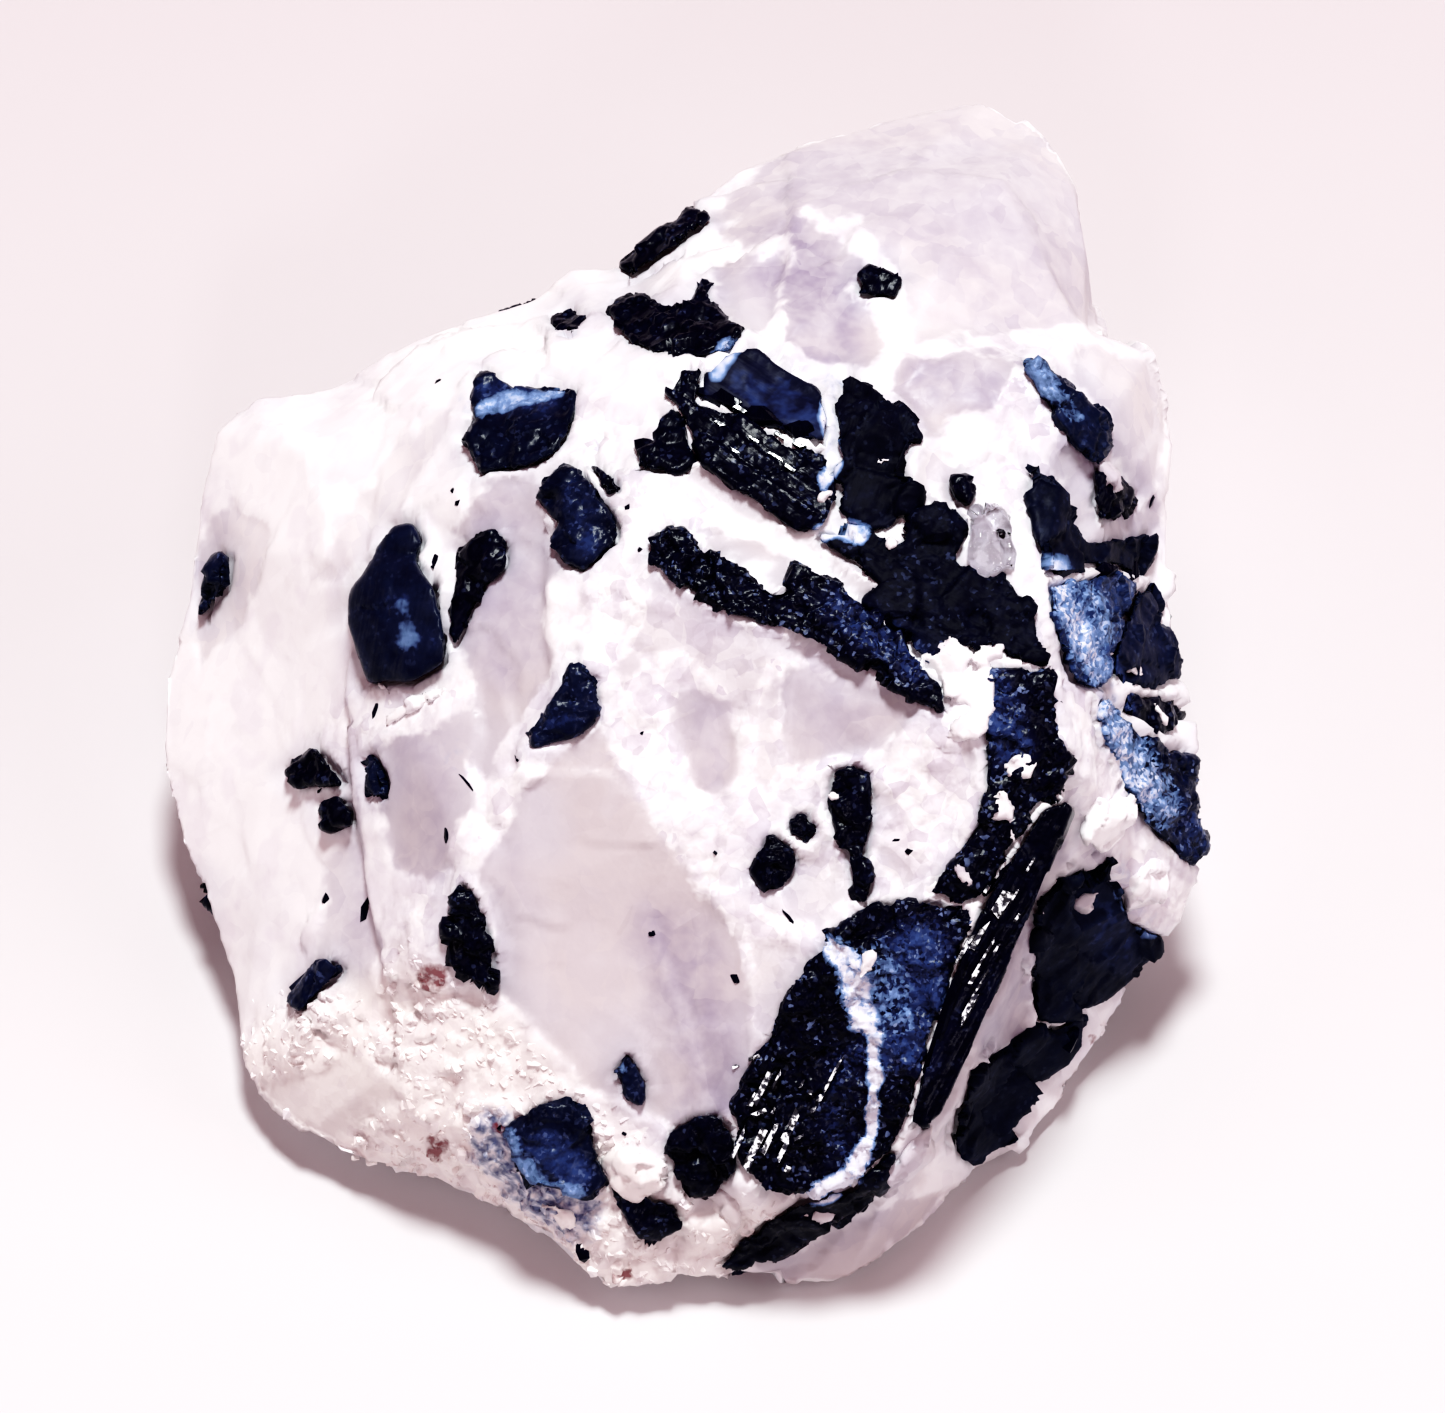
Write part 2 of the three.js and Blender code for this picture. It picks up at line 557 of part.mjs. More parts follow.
const group = new THREE.Group();
for (const { name, look, solid } of growCrystals()) {
  const mesh = new THREE.Mesh(toGeometry(solid), new THREE.MeshStandardMaterial(look));
  mesh.name = name;
  group.add(mesh);
}
const box = new THREE.Box3().setFromObject(group);
const centre = box.getCenter(new THREE.Vector3());
group.position.set(-centre.x, -centre.y, -box.min.z);
group.updateMatrixWorld(true);

export default group;
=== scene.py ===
# Tourmalinated quartz: the looks of the stone around its imported frame.
# The mesh work is done in millimetres and the pieces are made in metres, in the frame's own axes.
import itertools
import json
import math

import bpy
import numpy as np
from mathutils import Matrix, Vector
from mathutils.bvhtree import BVHTree


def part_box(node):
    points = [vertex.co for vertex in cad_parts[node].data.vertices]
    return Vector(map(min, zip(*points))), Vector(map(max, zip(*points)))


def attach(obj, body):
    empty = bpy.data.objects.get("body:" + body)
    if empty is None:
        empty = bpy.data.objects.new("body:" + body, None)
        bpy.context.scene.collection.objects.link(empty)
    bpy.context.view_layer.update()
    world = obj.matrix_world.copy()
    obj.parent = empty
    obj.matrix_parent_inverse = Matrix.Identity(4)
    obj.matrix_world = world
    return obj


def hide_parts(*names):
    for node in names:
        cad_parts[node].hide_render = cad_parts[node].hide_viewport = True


MM = 0.001
SEED = 7

# The drawing plane: u to the right, v up, w to the viewer, in millimetres
VIEW_ELEVATION = math.radians(55)
LEFT_RIM_U = -21.0
LEFT_FLANK_U = -14.0
LOW_RIM = (-2.4, -23.5, 18.4)
PICTURE_CENTRE = (1.7, -0.26, 18.0)
PICTURE_WIDTH = 57.8
CAMERA_DISTANCE = 1200.0
SENSOR = 36.0
DROP_HEIGHT = 60.0
# Contrast of the picture: scene light and what it is shown as
TONES = [(0.02, 0.004), (0.06, 0.024), (0.2, 0.18), (0.7, 0.75)]

# Mesh work
JOINT_GAP = 0.3
STONE_VOXEL = 0.27
CRYSTAL_VOXEL = 0.15
FINE_VOXEL = 0.115
CRYSTAL_SWELL = 0.08
CRYSTAL_SINK = 0.05
UNDER_CRYSTAL = 0.5
NEAR_CRYSTAL = 2.0
SURELY_INSIDE = 0.7
FLAT_HEIGHT = 0.6
GRAIN_CELL = 0.45
GRAIN_DEPTH = 0.38
BLOCK_VOXEL = 0.12
BLOCK_SCALE = 1.3
LATH_TOP = 0.04
LATH_FOOT = -0.5
LATH_RISE = 0.45
SPECK_DEPTH = 0.08
NORMAL_REACH = 0.8

# The stage
FLOOR_HALF = 5000.0
FLOOR_DEPTH = 0.02
NEAR_CLOTH = (0.69, 0.675, 0.69)
# the far end holds painted shade
SHADED_FAR_CLOTH = (0.61, 0.56, 0.58)
SKY_COLOUR = (1.0, 0.40, 0.43)
SKY_STRENGTH = 0.24

# Broken clear faces of the quartz, smooth and see-through: how clear, and the outline
PANES = [
    # the big front face
    (1.0, [(-5.6, -1.8), (-3.2, -1.2), (-1.9, -3.5), (-1.3, -4.4), (0.8, -7.6), (2.2, -9.2),
           (3.2, -14), (2.4, -16.4), (0.4, -17.2), (-3.6, -15.6), (-5.9, -12.8), (-7.2, -11.9),
           (-7.4, -9.6), (-8.2, -6.8), (-7.6, -5.3), (-6.8, -4)]),
    # the scoop above it
    (0.9, [(-0.7, -0.2), (0.4, 0.4), (1.9, 0), (2.3, -1.8), (2.2, -3.2), (1.4, -4), (0.4, -3.6),
           (-0.2, -2)]),
    # the faces under the long bar
    (0.95, [(4.2, 1.3), (6, 1.1), (8, 0.6), (9.5, 0.1), (8.8, -1), (8.3, -1.4), (7.2, -2.2),
            (6, -2.5), (4.4, -2.8), (4, -1.6), (4.1, 0)]),
    (0.5, [(1.4, 2.4), (4.1, 1.8), (3.9, -2), (3.5, -4), (2.6, -3.3), (2.4, -0.6), (1.2, 1.3)]),
    (0.4, [(-1.2, 4.6), (0.8, 3.9), (3.2, 2.9), (6, 1.9), (9, 0.4), (6, 1.1), (3, 1.9),
           (1, 2.4), (-0.4, 3.2)]),
    (0.55, [(-1.2, 5.3), (-0.1, 4.5), (1.4, 3.6), (1.6, 2.7), (1, 1.7), (0, 2.1), (-1.4, 2),
            (-1.9, 2.8), (-1.8, 4.2)]),
    (0.7, [(-2.5, 1.9), (-1.6, 2.1), (-1.3, 1.4), (-1.9, 0.7), (-2.6, 1.1)]),
    # small ones in the white centre
    (0.8, [(7.9, -3.5), (8.9, -3.6), (8.8, -4.8), (8.1, -4.7)]),
    (0.8, [(11.4, -1.5), (12.1, -1.8), (12, -2.8), (11.3, -2.4)]),
    (0.6, [(7.6, -5.9), (9.4, -6.2), (9.6, -7), (8, -7.1)]),
    (0.6, [(2.6, -9.2), (4.6, -9.8), (5.2, -10.8), (4.2, -12.6), (3.2, -13.6), (2.8, -12)]),
    (0.5, [(4.2, -6.2), (5.6, -6.4), (6.4, -8), (5.4, -9.2), (4.4, -8.8), (3.8, -7.4)]),
    # slivers above the long bar
    (0.9, [(0.5, 7), (4.8, 5.5), (4.1, 4.3), (1, 5.8)]),
    (0.8, [(4.4, 6.8), (8.1, 4.5), (7.3, 4), (5.6, 5.2)]),
    (0.5, [(-0.3, 9.4), (1.2, 9.4), (4.4, 7), (1.4, 7)]),
    # the two faces left of the ridge
    (1.0, [(-9.3, 6.9), (-7, 8.9), (-5.8, 8.9), (-5.3, 8.1), (-5.1, 6.9), (-5.2, 6.2),
           (-4, 5.2), (-5.1, 4.3), (-5.4, 3.1), (-5.3, 2.4), (-5.1, 0.6), (-5.9, -1.4),
           (-6.5, -2.4), (-7.9, -3.2), (-8.5, -2.6), (-8.5, 1.1), (-8.8, 2.6), (-8.2, 4.1),
           (-7, 5.5), (-7, 6.6), (-8.8, 6.3)]),
    (1.0, [(-12, -1.7), (-10.1, -0.7), (-8.5, -0.6), (-8.2, -1.4), (-8.4, -2.6), (-8.1, -4),
           (-8.4, -5.2), (-9, -6.4), (-10, -7.2), (-11.2, -6.8), (-11.8, -4.8), (-12.2, -3.2)]),
    # the soft faces of the left flank
    (0.6, [(-12.6, -3.5), (-12.4, -8), (-11, -12), (-12.6, -12.5), (-14.4, -10.6),
           (-14.2, -6.5)]),
    (0.5, [(-17.5, -15.5), (-13, -14), (-11, -16), (-14, -18), (-17, -17.5)]),
    (0.5, [(-19.8, 6), (-18, 8.5), (-16.5, 7), (-17.6, 3), (-19.6, 1)]),
    (0.35, [(-10, 9), (-9, 11.8), (-13, 8.5), (-15, 4.5), (-13.5, 5)]),
    # the top faces
    (0.6, [(1, 19.2), (4, 22.6), (8, 24.6), (13, 25), (17.4, 21), (17.4, 15), (13, 14.8),
            (9.4, 14.2), (8.6, 17), (7.4, 19.4), (4.4, 19.6)]),
    (0.8, [(1.6, 17.7), (4.2, 18.2), (3.9, 15.8), (3.1, 14.7), (1.6, 15.4)]),
    (0.7, [(1.6, 19), (4, 21), (6, 20.6), (4.4, 18.9), (2.4, 18.3)]),
    (0.95, [(4.4, 19.3), (5.6, 19.3), (7.4, 17.7), (7, 16.2), (7.9, 15.6), (8.4, 14.1),
            (7.4, 13.2), (5, 13.4), (3.9, 14.2), (4.4, 17)]),
    (0.5, [(7.6, 22.6), (12.5, 23), (15.4, 20), (13, 18.5), (9, 19.5), (7, 20.5)]),
    (1.0, [(9, 13.4), (11, 14.4), (12.5, 14.2), (13.6, 13.3), (12.9, 12.2), (12.8, 11.3),
           (10.6, 11.2), (10.6, 10.4), (9.7, 10.4), (9.4, 11.6), (8.3, 12.5)]),
    (0.6, [(9.3, 9.2), (10.2, 10.1), (11, 9.8), (11, 7.3), (9.6, 7.8)]),
    # the right lobe
    (0.75, [(14.4, 9.6), (15.5, 10.8), (17.3, 9.3), (16.7, 8.7), (16.7, 7.2), (18.2, 7.8),
            (19, 8.4), (19.5, 7.2), (18.6, 6.3), (16.1, 6.3), (15.6, 7.5), (15.5, 8.8)]),
    (0.6, [(15.6, 14.2), (19, 13.6), (19.4, 11), (19.2, 8.6), (18.2, 8.1), (17.3, 9.7),
           (17, 11.4), (15.6, 13.2)]),
    # the low right faces
    (0.95, [(13.9, -8.3), (14, -9.8), (14.2, -12.4), (13.9, -13.5), (12.3, -14.5),
            (11.3, -14.5), (12.2, -11.4), (13.4, -9.6)]),
    (0.6, [(8, -19.2), (10.8, -14.7), (12.2, -14.5), (10.9, -17.3), (9.2, -20.1),
           (7.8, -19.6)]),
    (0.9, [(2.4, -22.8), (4.9, -22.2), (8.7, -19.9), (10.9, -19.6), (9.2, -21.6), (7, -23.3),
           (4.4, -23.6)]),
    (0.8, [(13.8, -5.6), (16.6, -5.4), (15, -7), (14, -8)]),
    (0.7, [(0.2, -19.9), (2, -19.2), (2.4, -20.4), (1, -20.8)]),
    (0.6, [(-2, -18.6), (-0.5, -18.2), (-0.4, -19.8), (-2.2, -19.4)]),
]

# Milky veins that cut and border the clear faces: half width and course
VEINS = [
    (1.1, [(-1.6, 9.4), (-1.9, 6), (-2.4, 3.4), (-4.4, 0.6), (-6.3, -2.4)]),
    (0.7, [(-6.3, -2.4), (-7.8, -5), (-9, -7.6), (-10, -9.6), (-12, -11)]),
    (0.5, [(13.9, 13.5), (13.8, 9.5), (14.2, 6.3)]),
    (0.9, [(14.2, 6.3), (15.3, 2), (16.5, -1.8), (17, -4), (16.2, -6)]),
    (0.5, [(-13, -1.2), (-11.4, -0.8), (-10.6, -0.9), (-9.6, -0.5), (-9.1, 0.1)]),
    (0.2, [(2.6, -3.6), (2.9, -1), (3.6, 1.6)]),
    (0.35, [(6.2, 12.8), (5.9, 11.6), (6.1, 10.4), (6.3, 9.4), (5.8, 8.7)]),
]

# Fracture steps of the clear faces: how deep, how far they reach, and their course, with the
# lower side on the right of it
STEPS = [
    (0.15, 1.2, [(0.9, -15.2), (0.4, -13), (-0.4, -11), (-1, -9.4)]),
    (0.4, 1.5, [(2.3, -1.8), (2, -3.4), (1.2, -4.1), (0.3, -3.6), (-0.2, -2), (-0.7, -0.3)]),
    (0.35, 2.0, [(8.8, -1), (7.4, -2.2), (6, -2.6), (4.4, -2.8), (4, -1.4), (4.2, 1.2)]),
    (0.35, 1.8, [(-5.2, 6.2), (-5.3, 2.4), (-5.1, 0.6), (-5.9, -1.4)]),
    (0.35, 1.8, [(-9, -6.4), (-8.3, -5), (-8.1, -4), (-8.4, -2.6), (-8.2, -1.2)]),
    (0.4, 2.0, [(4.3, 19.2), (4.4, 17), (3.9, 14.4)]),
    (0.35, 2.0, [(9.4, 11.6), (8.4, 12.5), (9, 13.4), (11, 14.4)]),
    (0.5, 3.0, [(-12.8, 4), (-13.4, 0), (-12.9, -5), (-11.8, -11)]),
]

# Cream-coloured granular quartz along the low left side, and rusty spots
CREAM = [
    (-15.6, -12), (-11.2, -10.4), (-7.2, -12.4), (-4, -15.6), (-2.4, -17.2), (0.4, -20),
    (4, -20), (5.6, -21.2), (0.8, -23.9), (-3.2, -24), (-7.2, -22), (-9.6, -20.6),
    (-15.2, -18.4), (-18.4, -14.4),
]
# Mauve of the quartz, partly its clear depths and partly painted shade: strength, half width and course
MAUVE_DEPTHS_AND_SHADE = [
    # faces left of the ridge
    (0.55, 1.5, [(-7.4, 8.2), (-6.8, 5), (-7, 2)]),
    (0.5, 1.2, [(-10.6, -1.2), (-10, -4), (-10, -6.6)]),
    (0.5, 1.0, [(-9.5, 9), (-7, 8.6)]),
    # the front face and the faces around it
    (0.7, 1.5, [(-0.3, -9.5), (0.8, -13), (1.4, -16)]),
    (0.25, 0.8, [(-7, -6), (-6.6, -10)]),
    (0.5, 0.8, [(1, -0.5), (1.2, -3)]),
    (0.45, 1.2, [(5, 0.4), (7.5, -1.4)]),
    # painted shade under the long bar
    (0.3, 0.5, [(1, 3), (5, 1.4), (9, -0.4)]),
    (0.3, 0.8, [(-2, 1.6), (0, 0.6)]),
    # top and right, with painted shade across the top
    (0.95, 1.8, [(4, 18), (6, 16), (5.6, 14)]),
    (0.55, 3.4, [(6, 21.6), (11, 20), (13.6, 17)]),
    (0.4, 1.6, [(8, 22), (12, 21.6), (14.6, 20)]),
    (0.45, 1.0, [(1.5, 17), (2.5, 20)]),
    (0.5, 1.0, [(-4.5, 15), (-1.5, 16.2), (0.4, 15.6)]),
    (0.75, 1.2, [(10, 13), (12.6, 12.2)]),
    (0.6, 1.4, [(15, 12), (17.5, 8.5), (18.5, 6.8)]),
    # painted shade on the low right face and under the white band
    (0.6, 0.9, [(13.8, -8), (13.7, -11), (12.8, -14)]),
    (0.7, 0.6, [(14.6, -5.8), (16.4, -6.4)]),
    (0.3, 1.0, [(3, -22.6), (8, -21)]),
    # left flank: painted shade in its soft folds
    (0.6, 1.1, [(-12.8, -3), (-12.6, -7), (-12.2, -10)]),
    (0.5, 0.7, [(-13.2, 2), (-13, -1)]),
    (0.5, 0.8, [(-19.4, 5.6), (-18.8, 8.6)]),
    (0.4, 1.0, [(-17.4, 11.6), (-14, 12.6)]),
    (0.3, 1.3, [(-16.6, -8), (-15, -12)]),
]
# Sugary parts of the milky quartz; elsewhere it is smooth
SUGAR = [
    (-6.5, -2.5), (-4, 2), (-2.4, 6), (-1.8, 9.5), (1, 8), (4, 3), (9, 1), (12, -2), (12, -7),
    (9, -8), (6, -8), (3.5, -13), (3, -17), (0.5, -19), (-3, -17), (0, -8),
]
SUGAR_STROKES = [
    (1.0, 1.6, [(13.6, 13), (13.9, 8), (15, 3), (16.5, -2), (17, -5), (19.5, -8)]),
    (0.8, 1.4, [(-5, 11), (-2, 10), (-1.9, 6), (-3.6, 1.6), (-6.3, -2.4), (-8.6, -7.4), (-11, -10)]),
    (0.7, 1.2, [(-13.4, -1.4), (-11, -0.6), (-9, 0.6), (-9.6, 2.6)]),
    (0.7, 1.2, [(9.4, 12), (8.6, 9.6), (12.6, 7.4)]),
]
RUST_SPOTS = [(-9.8, -11.1, 1.1), (-9.5, -17.9, 0.8), (-7.3, -17.1, 0.5), (-2.2, -23, 0.5),
              (16.5, -13.8, 0.35), (16.9, -14.6, 0.35)]

# Dark blue and pale blue in the tourmaline, with a painted highlight on the left blob, and pale
# blue stains on the quartz next to it: strength, half width and course
BLUE_PATCHES = [
    (0.85, 1.6, [(9.4, -10), (9.2, -12.2), (8.6, -13.6)]),
    (0.6, 1.0, [(6.6, -14.4), (6.2, -16.6), (6.8, -18)]),
    (0.8, 1.0, [(12.2, 0.6), (12.8, -0.6), (13.2, -1.8)]),
    (0.7, 0.9, [(6.2, 3.6), (8, 2.6), (9.6, 1.4)]),
    (0.7, 1.0, [(2.6, 12.6), (5.4, 11)]),
    # painted highlight: a soft pale blue spot in the middle of the left blob
    (0.6, 0.8, [(-11.5, 4), (-11.2, 2.6), (-10.4, 2.4)]),
    (0.9, 0.9, [(15.4, 4.6), (16.4, 2.4), (17.4, 0)]),
    (0.7, 1.0, [(19.6, -4.4), (20.8, -5.6)]),
    (0.6, 1.1, [(16.6, -8.4), (17.6, -10)]),
    (0.8, 1.0, [(-5.6, -17.8), (-4.4, -18.8)]),
    (0.6, 0.8, [(-4.2, 8.2), (-3.6, 6.2)]),
    (0.7, 0.8, [(-7.6, 12.4), (-5.4, 12)]),
    (0.6, 0.7, [(-5, -0.8), (-3.8, -0.4)]),
]
FROST_PATCHES = [
    # the slab: a whitish zone and the vein under it, of uneven width
    (0.85, 0.55, [(6.1, -9.8), (7, -11.2), (7.3, -12.6)]),
    (0.38, 1.0, [(7.8, -10.6), (8.4, -12.4)]),
    (1.0, 0.14, [(7.2, -12.4), (7.6, -13.4)]),
    (1.0, 0.3, [(7.7, -13.6), (7.8, -15.1)]),
    (1.0, 0.15, [(7.8, -15.1), (7.8, -16.2)]),
    (1.0, 0.24, [(7.8, -16.2), (7.5, -17.6)]),
    (1.0, 0.38, [(7.4, -17.8), (6.8, -19), (5.6, -19.7)]),
    # the upper group
    (0.9, 0.35, [(5.5, 6.6), (6.2, 7), (7.1, 6.6)]),
    (0.7, 0.35, [(1.4, 13.2), (2.2, 14.2)]),
    (0.8, 0.3, [(5.9, 11.8), (6.2, 9.4), (5.8, 8.6)]),
    # the right flank
    (0.65, 0.6, [(14.9, 5.2), (15.7, 3.4), (16.6, 1.2)]),
    (0.45, 0.9, [(15.6, 4.4), (16.6, 3)]),
    (0.62, 0.7, [(16.9, -0.4), (18, -2.2), (18.8, -3.8)]),
    (0.45, 0.9, [(18, -2), (19.2, -4.4)]),
    (0.55, 0.4, [(17.8, -7.6), (18.8, -9.2)]),
    (0.5, 0.7, [(14, 13.4), (14.7, 12.6)]),
    (0.35, 0.3, [(15.2, 12.2), (15.8, 11.2)]),
    # the left half
    (0.45, 0.6, [(-7.2, -17.2), (-6.2, -19), (-4.4, -20)]),
    (0.55, 0.3, [(-7.9, 11.6), (-6.4, 12.1), (-4.8, 12.2)]),
    # painted highlight: the whitish middle of the highlight on the left blob
    (0.3, 0.7, [(-11.4, 3.4), (-11, 2.6)]),
    (0.4, 0.25, [(-2.5, -14.2), (-2.3, -14.7)]),
]
STAINS = [
    (1.0, 1.2, [(-7.4, -17.4), (-6.4, -19), (-4.4, -20.4)]),
    (0.7, 0.5, [(15.2, 4.6), (16.2, 2), (17.4, -1.2), (19, -4.4)]),
    (0.6, 0.5, [(6.2, 12.6), (6.2, 9.4)]),
    (0.5, 0.5, [(-8.4, 11.8), (-6, 12.4)]),
    (0.4, 0.8, [(-9, -2.2), (-8.6, -3)]),
    (0.5, 0.6, [(17.4, -6.8), (18.6, -8.6)]),
]

# Surface of single crystals: direction of growth in the drawing plane in degrees, width and
# height of the ribs, size and height of the grains, size and lean of the broken facets, how
# granular the colour and how many painted glints it has, how matt and how rounded the skin is,
# balls that stand out of it (place, radius and height), and how blue and frosted where that
# differs from its kind
HABITS = {
    "edge_bar": dict(axis=62, rib=(0.34, 0.14), grain=(0.5, 0.0), facet=(3.0, 0.02), jag=0.0,
                     grain_and_glints=0.2),
    "long_bar": dict(axis=-28, rib=(0.5, 0.07), grain=(0.5, 0.12), facet=(1.6, 0.15), grain_and_glints=1.0),
    "upper_prism_front": dict(axis=-35, rib=(0.8, 0.3), grain=(0.5, 0.03), facet=(2.6, 0.05),
                              jag=0.03, grain_and_glints=0.6),
    "upper_prism_back": dict(axis=-33, rib=(0.8, 0.12), grain=(0.6, 0.0), facet=(2.6, 0.05),
                             jag=0.02, grain_and_glints=0.0, blue=0.45, matt=0.6),
    "slab_lower": dict(axis=62, rib=(0.42, 0.07), grain=(0.5, 0.1), facet=(1.7, 0.2), grain_and_glints=1.0),
    "slab_upper": dict(axis=66, rib=(0.5, 0.05), grain=(0.48, 0.12), facet=(1.5, 0.18),
                       grain_and_glints=1.0),
    "dark_mass": dict(axis=-30, rib=(0.6, 0.05), grain=(0.4, 0.08), facet=(1.8, 0.2), matt=0.8),
    "upper_block": dict(axis=70, rib=(0.8, 0.04), grain=(0.5, 0.03), facet=(2.2, 0.22),
                        grain_and_glints=0.2, matt=0.8),
    "right_wedge": dict(rib=(0.8, 0.04), grain=(0.6, 0.03), facet=(2.0, 0.2), jag=0.03,
                        grain_and_glints=0.2, matt=0.6, blue=0.2),
    "right_tooth": dict(rib=(0.8, 0.04), grain=(0.6, 0.04), facet=(1.4, 0.2), jag=0.03,
                        grain_and_glints=0.2, matt=0.5),
    "base_bar": dict(axis=32, rib=(0.5, 0.1), grain=(0.5, 0.06), facet=(1.5, 0.15), grain_and_glints=0.3),
    "left_blob": dict(axis=80, rib=(1.2, 0.04), grain=(0.7, 0.01), facet=(2.4, 0.03), jag=0.01,
                      grain_and_glints=0.1, matt=0.35, round=20,
                      balls=[(-11.6, 3.0, 3.1, 1.2), (-11.4, 6.9, 1.4, 0.6)]),
    "left_club": dict(axis=62, rib=(0.6, 0.06), facet=(1.3, 0.12), grain_and_glints=0.3, round=4,
                      balls=[(-7.7, 5.9, 1.2, 0.4)]),
    "middle_cluster": dict(axis=62, grain=(0.6, 0.05), facet=(1.3, 0.1), grain_and_glints=0.3, round=4,
                           blue=0.25,
                           balls=[(-5, 9.4, 1.3, 0.5), (-3.7, 8, 1.3, 0.5), (-4.2, 6, 1.5, 0.5)]),
    "top_left_cluster": dict(grain=(0.6, 0.05), facet=(1.3, 0.12), grain_and_glints=0.3, round=3, blue=0.2,
                             balls=[(-7.9, 10.4, 1.3, 0.5), (-6, 10.6, 1.5, 0.5)]),
    "right_blue_shard": dict(axis=-55, rib=(0.6, 0.05), grain=(0.5, 0.08), facet=(1.3, 0.2),
                             grain_and_glints=1.0),
    "right_frosted": dict(axis=-60, rib=(0.6, 0.05), grain=(0.5, 0.08), facet=(1.3, 0.2),
                          grain_and_glints=1.0),
    "vein_wedge": dict(axis=80, rib=(0.5, 0.04), grain=(0.6, 0.04), facet=(1.4, 0.2)),
    "flank_block": dict(axis=40, rib=(0.8, 0.04), grain=(0.5, 0.03), facet=(2.2, 0.2),
                        grain_and_glints=0.1, blue=0.2, jag=0.02, matt=0.8),
    "flank_foot": dict(axis=40, rib=(0.8, 0.05), grain=(0.5, 0.03), facet=(2.0, 0.2),
                       grain_and_glints=0.1, blue=0.25, jag=0.02, matt=0.8),
    "left_rod": dict(axis=50, rib=(0.3, 0.05), grain=(0.5, 0.0), facet=(2.0, 0.05)),
    "pane_leaf": dict(axis=100, rib=(0.7, 0.05), facet=(1.1, 0.3)),
    "shard": dict(axis=-50, rib=(0.6, 0.08), grain=(0.5, 0.04), facet=(1.2, 0.2), blue=0.1,
                  frost=0.0, matt=0.3),
    "rim_bar": dict(axis=45, rib=(0.5, 0.06), grain=(0.5, 0.02), facet=(1.6, 0.15)),
}
PLAIN_HABIT = dict(axis=60, rib=(0.6, 0.04), grain=(0.5, 0.05), facet=(1.2, 0.22), jag=0.06,
                   grain_and_glints=0.4, matt=0.2, round=1, balls=(), blue=None, frost=None)
FINE_CRYSTALS = ("edge_bar", "long_bar", "slab_lower", "upper_prism_front")

# Larger quartz grains and teeth that stand out: place, length, width, direction in degrees and
# how clear
BLOCKS = [
    # the white island at the end of the long bar
    (10.6, 1.6, 2.1, 1.6, 50, 0.1), (12.1, 0.5, 2.4, 1.5, 80, 0.1), (11.5, -0.9, 1.6, 1.3, 20, 0.1),
    (12.3, 1.8, 1.3, 0.9, 30, 0.1), (11.2, 0.4, 1.5, 1.2, 0, 0.1),
    # on the slab
    (13.6, -2.6, 1.2, 1.0, 100, 0.1), (12.9, -3.9, 1.8, 0.9, 75, 0.2), (13.2, -5.2, 1.1, 0.35, 100, 0.2),
    (11.3, -7.0, 0.9, 0.5, -60, 0.7), (10.1, -7.5, 1.2, 0.9, 20, 0.1), (7.4, -10.4, 1.2, 0.75, 60, 0.1),
    # in the dark groups
    (7.9, 9.5, 0.9, 0.45, 10, 0.1), (5.9, 8.1, 0.8, 0.6, 40, 0.2), (8.4, 6.3, 0.7, 0.5, 60, 0.2),
    (6.2, -4.0, 0.8, 0.35, -60, 0.1),
    # teeth along the low edge
    (-1.8, -18.8, 2.5, 2.2, 60, 0.2), (1.8, -20.2, 2.0, 1.5, 80, 0.6), (9.1, -18.2, 3.4, 2.4, 66, 0.6),
    (5.4, -20.6, 1.6, 0.8, 20, 0.6), (-4.9, -20.6, 1.4, 1.0, -30, 0.2),
    # the right flank
    (17.1, -4.8, 2.6, 2.1, 30, 0.1), (18.7, -7.5, 2.6, 1.8, -50, 0.1), (16.4, -8.0, 1.4, 0.9, 20, 0.6),
    (18.2, 1.2, 1.2, 0.5, -10, 0.1), (19.3, -0.6, 1.2, 0.5, -20, 0.1), (17.2, 8.9, 1.6, 1.0, -40, 0.7),
    # under the left blob
    (-10.9, -0.3, 2.6, 0.7, 14, 0.1), (-11.8, 0.2, 1.1, 0.6, -40, 0.1), (-9.8, 0.2, 1.1, 0.5, 30, 0.1),
]

